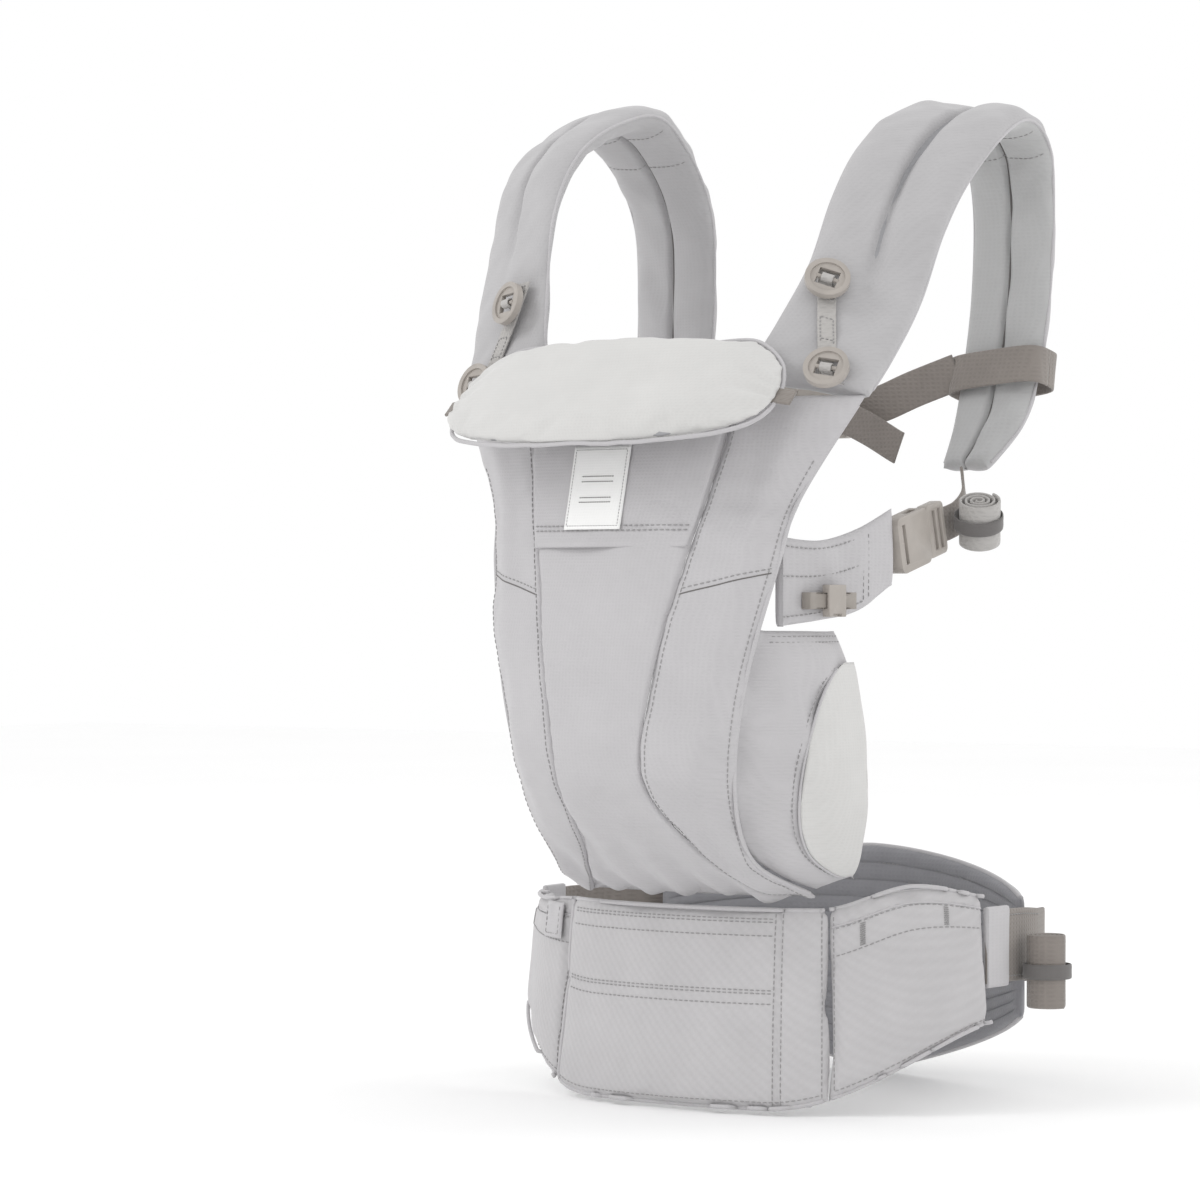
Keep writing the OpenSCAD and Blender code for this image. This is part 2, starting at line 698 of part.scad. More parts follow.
placed() chest_webbing_left();
placed() chest_buckle_female();
placed() chest_buckle_male();
placed() chest_tail_tab();
placed() pillow_cover();
placed() pillow_foam();
placed() pillow_tabs();
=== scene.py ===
import math

import bmesh
import bpy
import numpy as np
from mathutils import Matrix, Vector
from mathutils.bvhtree import BVHTree


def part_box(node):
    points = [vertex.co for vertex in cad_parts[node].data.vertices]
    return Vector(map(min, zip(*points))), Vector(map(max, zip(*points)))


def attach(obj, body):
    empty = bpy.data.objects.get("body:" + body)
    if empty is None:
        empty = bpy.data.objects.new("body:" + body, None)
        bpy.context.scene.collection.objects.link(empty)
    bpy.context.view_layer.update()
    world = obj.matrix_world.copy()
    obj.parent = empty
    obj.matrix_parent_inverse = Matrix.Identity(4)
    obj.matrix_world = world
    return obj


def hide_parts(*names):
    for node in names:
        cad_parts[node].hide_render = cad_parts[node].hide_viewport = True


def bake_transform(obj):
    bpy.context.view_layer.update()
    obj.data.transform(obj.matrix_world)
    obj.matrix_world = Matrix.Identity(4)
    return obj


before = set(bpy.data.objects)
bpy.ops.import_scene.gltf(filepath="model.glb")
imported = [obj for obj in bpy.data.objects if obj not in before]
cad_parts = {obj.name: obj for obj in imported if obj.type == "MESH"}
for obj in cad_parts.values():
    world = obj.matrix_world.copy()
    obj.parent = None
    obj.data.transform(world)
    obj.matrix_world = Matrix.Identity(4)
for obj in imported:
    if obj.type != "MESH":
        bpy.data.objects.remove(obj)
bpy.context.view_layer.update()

# Lengths below are in millimetres in the belt's own frame; put() turns them into the model's metres.
MM = 0.001
BELT_FRONT = 151.0
SHIFT = np.array([
    (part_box("side_panel_left")[0][0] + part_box("side_panel_right")[1][0]) / 2,
    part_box("belt_front_cover")[0][1] + BELT_FRONT * MM,
    0.0,
])
BELT_HEIGHT = 138.0
STRAP_T = 20.0
PILLOW_W = 258.0
PILLOW_BOW = 14.0
PILLOW_L = 112.0
PILLOW_MIDDLE = 0.43
WAIST_WEB = 49
CHEST_WEB = 26
UNDERARM_WEB = 24
STRAP_SPANS = 12
BELT_CORNER = 33.4
BELT_END = 71
SIDES = ((1, "right"), (-1, "left"))


def put(p):
    return np.asarray(p, dtype=float) * MM + SHIFT


# ---------------------------------------------------------------- curves and surfaces
def curve(P, s):
    """Catmull-Rom curve through the rows of P, at s from 0 to len(P) - 1."""
    P = np.asarray(P, dtype=float)
    s = np.asarray(s, dtype=float)
    n = len(P) - 1
    i = np.clip(np.floor(s).astype(int), 0, n - 1)
    t = (s - i)[..., None]
    a, b, c, d = P[np.maximum(i - 1, 0)], P[i], P[i + 1], P[np.minimum(i + 2, n)]
    return 0.5 * (2 * b + (c - a) * t + (2 * a - 5 * b + 4 * c - d) * t**2
                  + (3 * b - a - 3 * c + d) * t**3)


def ease(t):
    c = np.clip(t, 0, 1)
    return c * c * (3 - 2 * c)


def unit(v):
    return v / np.maximum(np.linalg.norm(v, axis=-1, keepdims=True), 1e-9)


def grid(nu, nv):
    return np.meshgrid(np.linspace(0, 1, nu + 1), np.linspace(0, 1, nv + 1), indexing="ij")


def waves(p, size, seed, count=7):
    """Smooth wandering value from about -1 to 1 over points p, with features of about size mm."""
    rng = np.random.default_rng(seed)
    total = 0
    for _ in range(count):
        k = unit(rng.normal(size=3)) * (2 * math.pi / size) * rng.uniform(0.6, 1.4)
        total = total + np.sin(p @ k + rng.uniform(0, 6.28))
    return total / math.sqrt(count)


def normals(surface, u, v, e=0.002):
    du = surface(u + e, v) - surface(u - e, v)
    dv = surface(u, v + e) - surface(u, v - e)
    return unit(np.cross(du, dv))


# ---------------------------------------------------------------- mesh helpers
def new_object(name, verts, faces, mat, smooth=True):
    mesh = bpy.data.meshes.new(name)
    mesh.from_pydata([tuple(v) for v in verts], [], faces)
    mesh.validate()
    obj = bpy.data.objects.new(name, mesh)
    bpy.context.scene.collection.objects.link(obj)
    for m in mat if isinstance(mat, (list, tuple)) else [mat]:
        mesh.materials.append(m)
    if smooth:
        mesh.polygons.foreach_set("use_smooth", [True] * len(mesh.polygons))
    return obj


def outward(obj):
    bm = bmesh.new()
    bm.from_mesh(obj.data)
    bmesh.ops.recalc_face_normals(bm, faces=bm.faces)
    bm.to_mesh(obj.data)
    bm.free()


def apply_modifiers(obj):
    graph = bpy.context.evaluated_depsgraph_get()
    mesh = bpy.data.meshes.new_from_object(obj.evaluated_get(graph))
    old = obj.data
    obj.modifiers.clear()
    obj.data = mesh
    mesh.name = obj.name
    bpy.data.meshes.remove(old)


def subdivided(obj, levels=1):
    mod = obj.modifiers.new("smooth", "SUBSURF")
    mod.levels = levels
    mod.render_levels = levels
    apply_modifiers(obj)


def quads(rows, cols, start=0, flip=False):
    out = []
    for i in range(rows - 1):
        for j in range(cols - 1):
            a = start + i * cols + j
            q = [a, a + 1, a + cols + 1, a + cols]
            out.append(q[::-1] if flip else q)
    return out


def rim_faces(rows, cols):
    n = rows * cols
    loop = list(range(cols)) + [i * cols + cols - 1 for i in range(1, rows)]
    loop += [(rows - 1) * cols + j for j in range(cols - 2, -1, -1)]
    loop += [i * cols for i in range(rows - 2, 0, -1)]
    return [[loop[i], n + loop[i], n + loop[(i + 1) % len(loop)], loop[(i + 1) % len(loop)]]
            for i in range(len(loop))]


def soft_shell(name, surface, nu, nv, thick, mat, sign=1, skin=True, power=(14, 8), bump=None,
               back=None, replaces=(), body="root"):
    """Padded sheet round a surface: full thickness inside, rounded off to its edges.

    sign turns the surface's normal outwards; bump and back move the two faces along it.
    A second material goes on the rear face."""
    u, v = grid(nu, nv)
    p = surface(u, v)
    n = normals(surface, u, v) * sign
    along = 1 - np.abs(2 * u - 1) ** power[0]
    across = 1 - np.abs(2 * v - 1) ** power[1]
    share = np.sqrt(np.clip(along * across, 0.01, 1))
    half = (thick / 2) * share
    middle = p - n * (thick / 2) if skin else p
    front = middle + n * (half + (bump(u, v, p) if bump else 0))[..., None]
    rear = middle - n * (half + (back(u, v, p) if back else 0))[..., None]
    verts = np.concatenate([put(front.reshape(-1, 3)), put(rear.reshape(-1, 3))])
    rows, cols = nu + 1, nv + 1
    faces = quads(rows, cols) + quads(rows, cols, rows * cols, True) + rim_faces(rows, cols)
    obj = new_object(name, verts, faces, mat)
    outward(obj)
    if isinstance(mat, list):
        rear_faces = [0] * (nu * nv) + [1] * (nu * nv) + [0] * (len(faces) - 2 * nu * nv)
        obj.data.polygons.foreach_set("material_index", rear_faces)
    finish_piece(obj, body, replaces)
    return obj


def finish_piece(obj, body, replaces=()):
    """body is None to leave a piece unattached, as for one that spans two bodies."""
    if body:
        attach(obj, body)
    if replaces:
        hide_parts(*([replaces] if isinstance(replaces, str) else replaces))


def swept(name, rings, mat, body, replaces=(), closed=False):
    """Skin over a row of equal rings of points in mm, capped at both ends unless it closes on itself."""
    n, m = rings.shape[:2]
    faces = []
    for i in range(n if closed else n - 1):
        for j in range(m):
            k, after = (j + 1) % m, (i + 1) % n
            faces.append([i * m + j, i * m + k, after * m + k, after * m + j])
    if not closed:
        faces += [list(range(m))[::-1], [(n - 1) * m + j for j in range(m)]]
    obj = new_object(name, put(rings.reshape(-1, 3)), faces, mat)
    outward(obj)
    finish_piece(obj, body, replaces)
    return obj


def tube(name, points, radius, mat, body="root", closed=False, sides=8):
    """Round cord such as a piping, through points in mm."""
    P = np.asarray(points, dtype=float)
    after = np.roll(P, -1, 0) if closed else np.vstack([P[1:], 2 * P[-1] - P[-2]])
    before = np.roll(P, 1, 0) if closed else np.vstack([2 * P[0] - P[1], P[:-1]])
    d = unit(after - before)
    a = unit(np.cross(d, np.array([0.31, 0.2, 0.93])))
    b = np.cross(d, a)
    ang = np.linspace(0, 2 * math.pi, sides, endpoint=False)
    ring = (a[:, None] * np.cos(ang)[None, :, None] + b[:, None] * np.sin(ang)[None, :, None]) * radius
    return swept(name, P[:, None] + ring, mat, body, closed=closed)


def ribbon(name, path, width, wide, mat, thick=1.6, steps=60, body="root",
           replaces=()):
    """Flat webbing along a path, its width lying along the direction wide, with rounded selvedges."""
    s = np.linspace(0, len(path) - 1, steps + 1)
    p = curve(path, s)
    d = unit(curve(path, np.minimum(s + 0.02, len(path) - 1)) - curve(path, np.maximum(s - 0.02, 0)))
    w = np.broadcast_to(np.asarray(wide, dtype=float), p.shape)
    h = unit(np.cross(d, w))
    w = unit(np.cross(h, d))
    profile = [(-0.5, 0), (-0.485, 0.42), (-0.44, 0.5), (-0.2, 0.46), (0.0, 0.45), (0.2, 0.46),
               (0.44, 0.5), (0.485, 0.42), (0.5, 0), (0.485, -0.42), (0.44, -0.5), (0.2, -0.46),
               (0.0, -0.45), (-0.2, -0.46), (-0.44, -0.5), (-0.485, -0.42)]
    rings = [p + w * a * width + h * b * thick for a, b in profile]
    return swept(name, np.stack(rings, 1), mat, body, replaces)


STITCH_PITCH = 4.0
STITCH_LONG = 2.9
STITCH_WIDE = 0.8


def stitches(name, lines, mat, body="root", pitch=STITCH_PITCH, wide=STITCH_WIDE):
    """One mesh of thread stitches; lines holds (points, normals) pairs in mm."""
    verts, faces = [], []
    section = [(-0.5, 0.0), (-0.3, 0.55), (0.3, 0.55), (0.5, 0.0)]
    for points, norms in lines:
        P = np.asarray(points, dtype=float)
        N = np.asarray(norms, dtype=float)
        step = np.linalg.norm(np.diff(P, axis=0), axis=1)
        run = np.concatenate([[0], np.cumsum(step)])
        count = max(1, int(run[-1] / pitch))
        for i in range(count):
            a = (i + 0.5) * run[-1] / count
            spots = []
            for t in (-0.5, -0.3, 0.3, 0.5):
                q = np.clip(a + t * STITCH_LONG * pitch / STITCH_PITCH, 0, run[-1])
                spots.append(np.array([np.interp(q, run, P[:, k]) for k in range(3)]))
            n = unit(np.array([np.interp(a, run, N[:, k]) for k in range(3)]))
            d = unit(spots[3] - spots[0])
            side = np.cross(n, d)
            base = len(verts)
            for q, share in zip(spots, (0.35, 1.0, 1.0, 0.35)):
                for c, h in section:
                    verts.append(put(q + side * c * wide * share + n * (h * wide * share - 0.1)))
            for k in range(3):
                for j in range(4):
                    at, m = base + k * 4, (j + 1) % 4
                    faces.append([at + j, at + m, at + 4 + m, at + 4 + j])
            faces += [[base + 3, base + 2, base + 1, base], [base + 12, base + 13, base + 14, base + 15]]
    obj = new_object(name, verts, faces, mat)
    outward(obj)
    finish_piece(obj, body)
    return obj


def on_surface(surface, us, vs, sign=1, lift=0.0):
    """Points and normals along parameter lists, for stitches and piping."""
    u, v = np.asarray(us, dtype=float), np.asarray(vs, dtype=float)
    n = normals(surface, u, v) * sign
    return surface(u, v) + n * lift, n


def cloth_tree(obj):
    """Search tree of a piece's mesh, for lines that lie on it."""
    verts = [v.co[:] for v in obj.data.vertices]
    return BVHTree.FromPolygons(verts, [f.vertices[:] for f in obj.data.polygons])


def laid(tree, line, lift=0.15):
    """The same line dropped along its normals onto the cloth as it lies."""
    points, norms = line
    out = np.array(points, dtype=float)
    for i, (p, n) in enumerate(zip(points, norms)):
        hit = tree.ray_cast(Vector(put(p + n * 20.0)), Vector(-n), 0.034)[0]
        if hit is not None:
            out[i] = (np.array(hit[:]) - SHIFT) / MM + n * lift
    return out, norms


def puff(obj, pressure=4.0, cap=8.0, voxel=5.0, frames=20):
    """Swells a closed pad as cloth under air pressure; no point moves further than cap mm."""
    remesh = obj.modifiers.new("remesh", "REMESH")
    remesh.mode = "VOXEL"
    remesh.voxel_size = voxel * MM
    remesh.use_smooth_shade = True
    apply_modifiers(obj)
    start = np.array([v.co[:] for v in obj.data.vertices])
    cloth = obj.modifiers.new("cloth", "CLOTH")
    cloth.settings.quality = 5
    cloth.settings.mass = 0.3
    cloth.settings.tension_stiffness = 12
    cloth.settings.compression_stiffness = 12
    cloth.settings.bending_stiffness = 0.8
    cloth.settings.use_pressure = True
    cloth.settings.uniform_pressure_force = pressure
    cloth.settings.effector_weights.gravity = 0
    cloth.collision_settings.use_collision = False
    scene = bpy.context.scene
    for f in range(1, frames + 1):
        scene.frame_set(f)
    graph = bpy.context.evaluated_depsgraph_get()
    moved = obj.evaluated_get(graph).to_mesh()
    end = np.array([v.co[:] for v in moved.vertices])
    obj.evaluated_get(graph).to_mesh_clear()
    obj.modifiers.clear()
    step = end - start
    step -= step.mean(axis=0)
    far = np.linalg.norm(step, axis=1, keepdims=True)
    step *= np.minimum(1.0, cap * MM / np.maximum(far, 1e-9))
    for v, q in zip(obj.data.vertices, start + step):
        v.co = q
    scene.frame_set(1)


# ---------------------------------------------------------------- materials
def shader(name, roughness, sheen=0.0, spec=0.4, coat=0.0):
    mat = bpy.data.materials.new(name)
    mat.use_nodes = True
    nodes, links = mat.node_tree.nodes, mat.node_tree.links
    bsdf = nodes["Principled BSDF"]
    bsdf.inputs["Roughness"].default_value = roughness
    bsdf.inputs["Specular IOR Level"].default_value = spec
    bsdf.inputs["Sheen Weight"].default_value = sheen
    bsdf.inputs["Sheen Roughness"].default_value = 0.5
    bsdf.inputs["Coat Weight"].default_value = coat
    return mat, nodes, links, bsdf


def math_node(nodes, links, op, a, b=None):
    node = nodes.new("ShaderNodeMath")
    node.operation = op
    for i, value in enumerate((a, b)):
        if value is None:
            continue
        if isinstance(value, (int, float)):
            node.inputs[i].default_value = value
        else:
            links.new(value, node.inputs[i])
    return node.outputs[0]


def noise_node(nodes, links, coords, scale, detail=4.0, rough=0.55):
    node = nodes.new("ShaderNodeTexNoise")
    node.inputs["Scale"].default_value = scale
    node.inputs["Detail"].default_value = detail
    node.inputs["Roughness"].default_value = rough
    links.new(coords, node.inputs["Vector"])
    return node.outputs["Fac"]


def wave_node(nodes, links, coords, scale, direction, distortion=0.0, kind="BANDS"):
    node = nodes.new("ShaderNodeTexWave")
    node.wave_type = kind
    if kind == "BANDS":
        node.bands_direction = direction
    node.inputs["Scale"].default_value = scale
    node.inputs["Distortion"].default_value = distortion
    node.inputs["Detail"].default_value = 1.0
    links.new(coords, node.inputs["Vector"])
    return node.outputs["Fac"]


def colour_ramp(nodes, links, fac, low, high):
    ramp = nodes.new("ShaderNodeValToRGB")
    ramp.color_ramp.elements[0].color = (*low, 1)
    ramp.color_ramp.elements[1].color = (*high, 1)
    ramp.color_ramp.elements[0].position = 0.3
    ramp.color_ramp.elements[1].position = 0.7
    links.new(fac, ramp.inputs["Fac"])
    return ramp.outputs["Color"]


def linear(rgb):
    return tuple(c / 12.92 if c <= 0.04045 else ((c + 0.055) / 1.055) ** 2.4 for c in rgb)


def relief(nodes, links, bsdf, height, strength, distance):
    bump = nodes.new("ShaderNodeBump")
    bump.inputs["Strength"].default_value = strength
    bump.inputs["Distance"].default_value = distance
    links.new(height, bump.inputs["Height"])
    links.new(bump.outputs["Normal"], bsdf.inputs["Normal"])


def fabric(name, rgb, weave=1.3, twill=False, spread=0.05, depth=0.12, crumple=0.25, roughness=0.86,
           sheen=0.25, turn=0.0):
    """Woven cloth: two crossing sets of threads, a mottled tone and fine creases.

    weave is the thread spacing in mm and depth the relief of the threads in mm."""
    mat, nodes, links, bsdf = shader(name, roughness, sheen, 0.25)
    base = np.array(linear(rgb))
    coords = nodes.new("ShaderNodeTexCoord")
    mapping = nodes.new("ShaderNodeMapping")
    mapping.inputs["Rotation"].default_value = (0.0, math.radians(45 if twill else turn), math.radians(35))
    links.new(coords.outputs["Object"], mapping.inputs["Vector"])
    per_m = 1000.0 / weave / 20.0 * math.pi
    warp = wave_node(nodes, links, mapping.outputs["Vector"], per_m, "X", 0.6)
    weft = wave_node(nodes, links, mapping.outputs["Vector"], per_m, "Z", 0.6)
    threads = math_node(nodes, links, "MAXIMUM", warp, weft) if not twill else \
        math_node(nodes, links, "ADD", math_node(nodes, links, "MULTIPLY", warp, 0.8),
                  math_node(nodes, links, "MULTIPLY", weft, 0.3))
    mottle = noise_node(nodes, links, coords.outputs["Object"], 26.0, 5.0, 0.6)
    slub = noise_node(nodes, links, coords.outputs["Object"], 900.0, 2.0, 0.7)
    tone = math_node(nodes, links, "ADD", math_node(nodes, links, "MULTIPLY", mottle, 0.6),
                     math_node(nodes, links, "ADD", math_node(nodes, links, "MULTIPLY", slub, 0.25),
                               math_node(nodes, links, "MULTIPLY", threads, 0.15)))
    bright = np.minimum(base * (1 + spread), 1)
    colour = colour_ramp(nodes, links, tone, tuple(base * (1 - spread)), tuple(bright))
    links.new(colour, bsdf.inputs["Base Color"])
    rough = math_node(nodes, links, "ADD", math_node(nodes, links, "MULTIPLY", slub, 0.12), roughness - 0.06)
    links.new(rough, bsdf.inputs["Roughness"])
    creases = noise_node(nodes, links, coords.outputs["Object"], 38.0, 6.0, 0.5)
    height = math_node(nodes, links, "ADD", math_node(nodes, links, "MULTIPLY", threads, depth),
                       math_node(nodes, links, "MULTIPLY", creases, crumple * 3))
    relief(nodes, links, bsdf, height, 0.8, MM)
    return mat


def plastic(name, rgb, roughness=0.38):
    """Moulded acetal: faint spark-eroded grain and slight tone changes."""
    mat, nodes, links, bsdf = shader(name, roughness, 0.0, 0.45)
    base = np.array(linear(rgb))
    coords = nodes.new("ShaderNodeTexCoord")
    mottle = noise_node(nodes, links, coords.outputs["Object"], 60.0, 3.0)
    grain = noise_node(nodes, links, coords.outputs["Object"], 2600.0, 2.0)
    colour = colour_ramp(nodes, links, mottle, tuple(base * 0.93), tuple(np.minimum(base * 1.05, 1)))
    links.new(colour, bsdf.inputs["Base Color"])
    rough = math_node(nodes, links, "ADD", math_node(nodes, links, "MULTIPLY", grain, 0.2), roughness - 0.1)
    links.new(rough, bsdf.inputs["Roughness"])
    relief(nodes, links, bsdf, grain, 0.25, 0.1 * MM)
    return mat


MAIN = fabric("pearl_cotton", (0.735, 0.728, 0.735), weave=1.1, depth=0.10)
TWILL = fabric("belt_twill", (0.735, 0.728, 0.733), weave=2.0, twill=True, depth=0.22, spread=0.06,
               crumple=0.12)
LINING = fabric("lining_jersey", (0.80, 0.797, 0.79), weave=1.0, depth=0.06, crumple=0.2, sheen=0.35)
INNER = fabric("inner_knit", (0.56, 0.56, 0.575), weave=1.6, depth=0.2)
STRAP_CLOTH = fabric("strap_cotton", (0.70, 0.695, 0.70), weave=1.1, depth=0.10)
STRAP_INNER = fabric("strap_lining", (0.70, 0.70, 0.70), weave=1.4, depth=0.12)
WEB_DARK = fabric("webbing_taupe", (0.53, 0.505, 0.485), weave=1.5, depth=0.35, spread=0.1,
                  crumple=0.05, turn=0)
WEB_LIGHT = fabric("webbing_pale", (0.70, 0.69, 0.68), weave=1.5, depth=0.35, spread=0.08, crumple=0.05)
THREAD = fabric("thread", (0.60, 0.595, 0.595), weave=0.6, depth=0.05, crumple=0.0)
THREAD_DARK = fabric("thread_dark", (0.43, 0.42, 0.415), weave=0.6, depth=0.05, crumple=0.0)
LABEL = fabric("woven_label_cloth", (0.94, 0.94, 0.935), weave=0.9, depth=0.05, crumple=0.05)
HARD = plastic("acetal_grey", (0.66, 0.635, 0.61))
HARD_DARK = plastic("acetal_shade", (0.60, 0.575, 0.55))
FOAM = fabric("foam_cells", (0.62, 0.62, 0.63), weave=2.2, depth=0.3, sheen=0.0)

# ---------------------------------------------------------------- camera, light and floor
CAMERA_AZ = math.radians(32)
CAMERA_AWAY = 2796.0
CAMERA_HIGH = 340.0
CAMERA_YAW = math.atan(184 / 3994)
CAMERA_LENS = 119.8


def make_camera():
    cam = bpy.data.objects.new("camera", bpy.data.cameras.new("camera"))
    bpy.context.scene.collection.objects.link(cam)
    cam.data.lens = CAMERA_LENS
    cam.data.sensor_width = 36
    cam.data.clip_end = 50
    spot = (CAMERA_AWAY * math.sin(CAMERA_AZ), -CAMERA_AWAY * math.cos(CAMERA_AZ), CAMERA_HIGH)
    cam.location = put(spot)
    cam.rotation_euler = (math.radians(90), 0, CAMERA_AZ + CAMERA_YAW)
    bpy.context.scene.camera = cam


def area_light(name, where, aim, size, power):
    lamp = bpy.data.lights.new(name, "AREA")
    lamp.shape = "DISK"
    lamp.size = size
    lamp.energy = power
    obj = bpy.data.objects.new(name, lamp)
    bpy.context.scene.collection.objects.link(obj)
    obj.location = where
    obj.rotation_euler = (Vector(aim) - Vector(where)).to_track_quat("-Z", "Y").to_euler()


def make_stage():
    world = bpy.data.worlds.new("studio")
    bpy.context.scene.world = world
    world.use_nodes = True
    world.node_tree.nodes["Background"].inputs["Color"].default_value = (1, 1, 1, 1)
    world.node_tree.nodes["Background"].inputs["Strength"].default_value = 1.0
    verts = [(x, y, -0.0005) for x in (-6, 6) for y in (-6, 6)]
    mat, nodes, links, bsdf = shader("floor_paper", 0.9, 0.0, 0.1)
    coords = nodes.new("ShaderNodeTexCoord")
    fac = noise_node(nodes, links, coords.outputs["Object"], 1.5)
    paper = colour_ramp(nodes, links, fac, (0.98, 0.98, 0.98), (0.99, 0.99, 0.99))
    links.new(paper, bsdf.inputs["Base Color"])
    floor = new_object("floor", verts, [(0, 2, 3, 1)], mat, smooth=False)
    middle = (0.0, 0.0, 0.35)
    area_light("key", (-1.5, -2.2, 2.3), middle, 1.1, 15)
    area_light("fill", (2.6, -1.6, 1.3), middle, 2.2, 3)
    area_light("rim", (1.4, 2.2, 1.8), middle, 1.2, 9)
    bpy.context.scene.view_settings.view_transform = "Standard"
    bpy.context.scene.view_settings.look = "None"


# ---------------------------------------------------------------- body panels
# height, half width, edge depth, centre depth, seam place
STATIONS = [[141, 95, -114, -128, 80], [167, 80, -168, -172, 50], [218, 86, -197, -230, 34],
            [285, 98, -204, -236, 42], [362, 114, -190, -224, 58], [405, 123, -178, -214, 68],
            [470, 158, -158, -196, 80]]
CENTRE = STATIONS + [[488, 80, -165, -181, 76], [503, 78, -155, -170, 66]]
LAST = len(STATIONS) - 1


def body_front(rows, s, x):
    q = curve(rows, s)
    y = q[..., 3] + (q[..., 2] - q[..., 3]) * np.minimum(1, np.abs(x) / q[..., 1]) ** 2.2
    return np.stack([x + 0 * y, y, q[..., 0]], -1)


def centre_surface(u, v):
    s = np.clip(u, 0, 1) * (len(CENTRE) - 1)
    seam = curve(CENTRE, s)[..., 4]
    return body_front(CENTRE, s, seam * (2 * v - 1))


def side_surface(side):
    def at(u, v):
        s = u * (LAST + 0.08)
        q = curve(STATIONS, s)
        p = body_front(STATIONS, s, q[..., 4] + (q[..., 1] - q[..., 4]) * v)
        return p * np.array([side, 1, 1])
    return at


def seam_dip(v, width=0.016, deep=1.5):
    return -deep * (np.exp(-(v / width) ** 2) + np.exp(-((1 - v) / width) ** 2))


def centre_bump(u, v, p):
    x, z = p[..., 0], p[..., 2]
    low = ease((205 - z) / 60)
    gathers = 2.2 * np.sin(x * 0.21 + 0.8 * np.sin(z * 0.05)) * low
    folds = 1.5 * np.sin(x * 0.075 + z * 0.012 + 1.0) + 1.5 * waves(p, 85, 3) + 0.45 * waves(p, 26, 4)
    puckers = 0.35 * np.sin(z * 0.55) * (np.exp(-(v / 0.05) ** 2) + np.exp(-((1 - v) / 0.05) ** 2))
    return seam_dip(v) + gathers + folds + puckers


def side_bump(seed):
    def at(u, v, p):
        x, z = np.abs(p[..., 0]), p[..., 2]
        low = ease((215 - z) / 70)
        gathers = 1.6 * np.sin(x * 0.26 + seed) * low
        long_fold = 2.6 * np.exp(-((v - 0.62) / 0.16) ** 2) * ease((z - 150) / 80)
        return seam_dip(v, 0.028, 1.4) * (v < 0.5) + gathers + long_fold + 1.5 * waves(p, 75, seed) \
            + 0.45 * waves(p, 24, seed + 1)
    return at


def make_body():
    soft_shell("centre_panel_cloth", centre_surface, 150, 110, 4.6, MAIN, -1, power=(30, 22),
               bump=centre_bump, replaces="centre_panel")
    for side, word in SIDES:
        surf = side_surface(side)
        cloth = soft_shell(f"side_panel_{word}_cloth", surf, 150, 60, 6.0, MAIN, -side, power=(30, 7),
                   bump=side_bump(7 + side), replaces=f"side_panel_{word}")
        rows = np.linspace(0.02, 0.97, 220)
        lines = [on_surface(surf, rows, np.full(220, 0.07), -side, 0.1),
                 on_surface(surf, rows[:200], np.full(200, 0.93), -side, -0.6)]
        # The yoke seam that crosses the side panel below the underarm wing
        across = np.linspace(0.06, 0.96, 40)
        lines.append(on_surface(surf, 0.62 + 0.035 * across, across, -side, 0.25))
        tree = cloth_tree(cloth)
        stitches(f"side_panel_{word}_stitching", [laid(tree, k) for k in lines], THREAD)
        rim = on_surface(surf, rows, np.full(220, 0.998), -side, -3.0)[0]
        tube(f"side_panel_{word}_edge_piping", rim, 1.5, MAIN)
        tube(f"side_panel_{word}_yoke_seam",
             laid(tree, on_surface(surf, 0.612 + 0.035 * across, across, -side), -0.1)[0], 0.5, THREAD_DARK)


def band_surface(u, v):
    s = 4.25 + (7.1 - 4.25) * u
    seam = curve(CENTRE, s)[..., 4] - 0.5
    return body_front(CENTRE, s, seam * (2 * v - 1)) + np.array([0, -2.4, 0])


def label_surface(u, v):
    z = 386 + 54 * u
    s = np.interp(z, [r[0] for r in STATIONS], range(len(STATIONS)))
    p = body_front(CENTRE, s, -10 + 46 * (v - 0.5) + 0 * z)
    return p + np.array([0, -4.6, 0])


def make_label():
    hem = lambda u, v, p: 0.7 * np.exp(-(u / 0.07) ** 2) + 0.6 * waves(p, 60, 12) + 0.2 * waves(p, 20, 13)
    band = soft_shell("label_band_cloth", band_surface, 60, 60, 1.5, MAIN, -1, power=(60, 60), bump=hem,
               replaces="label_band")
    across = np.linspace(0.02, 0.98, 80)
    hems = [on_surface(band_surface, np.full(80, k), across, -1, 0.55) for k in (0.10, 0.13)]
    stitches("label_band_stitching", hems, THREAD)
    label = soft_shell("woven_label_cloth_piece", label_surface, 24, 20, 1.1, LABEL, -1, power=(80, 80),
               replaces="woven_label")
    ring = [(0.05, v) for v in np.linspace(0.05, 0.95, 20)] + [(u, 0.95) for u in np.linspace(0.05, 0.95, 24)]
    ring += [(0.95, v) for v in np.linspace(0.95, 0.05, 20)]
    ring += [(u, 0.05) for u in np.linspace(0.95, 0.05, 24)]
    us, vs = np.array(ring).T
    stitches("woven_label_border", [on_surface(label_surface, us, vs, -1, 0.1)], THREAD,
             pitch=2.2, wide=0.5)
    bars = [on_surface(label_surface, np.full(20, k), np.linspace(0.22, 0.78, 20), -1, 0.1)
            for k in (0.34, 0.40, 0.60, 0.66)]
    stitches("woven_label_stripes", bars, THREAD_DARK, pitch=1.8, wide=0.8)


# ---------------------------------------------------------------- seat and underarm wings
WING = [[147, 96, -108, 116, -100, 2], [172, 80, -156, 119, -95, 9], [218, 83, -186, 120, -89, 15],
        [285, 93, -191, 116, -95, 12], [320, 99, -181, 109, -109, 7]]
ARM = [[-176, 109, 323, 381], [-140, 117, 327, 379], [-104, 124, 333, 387], [-68, 129, 350, 401]]


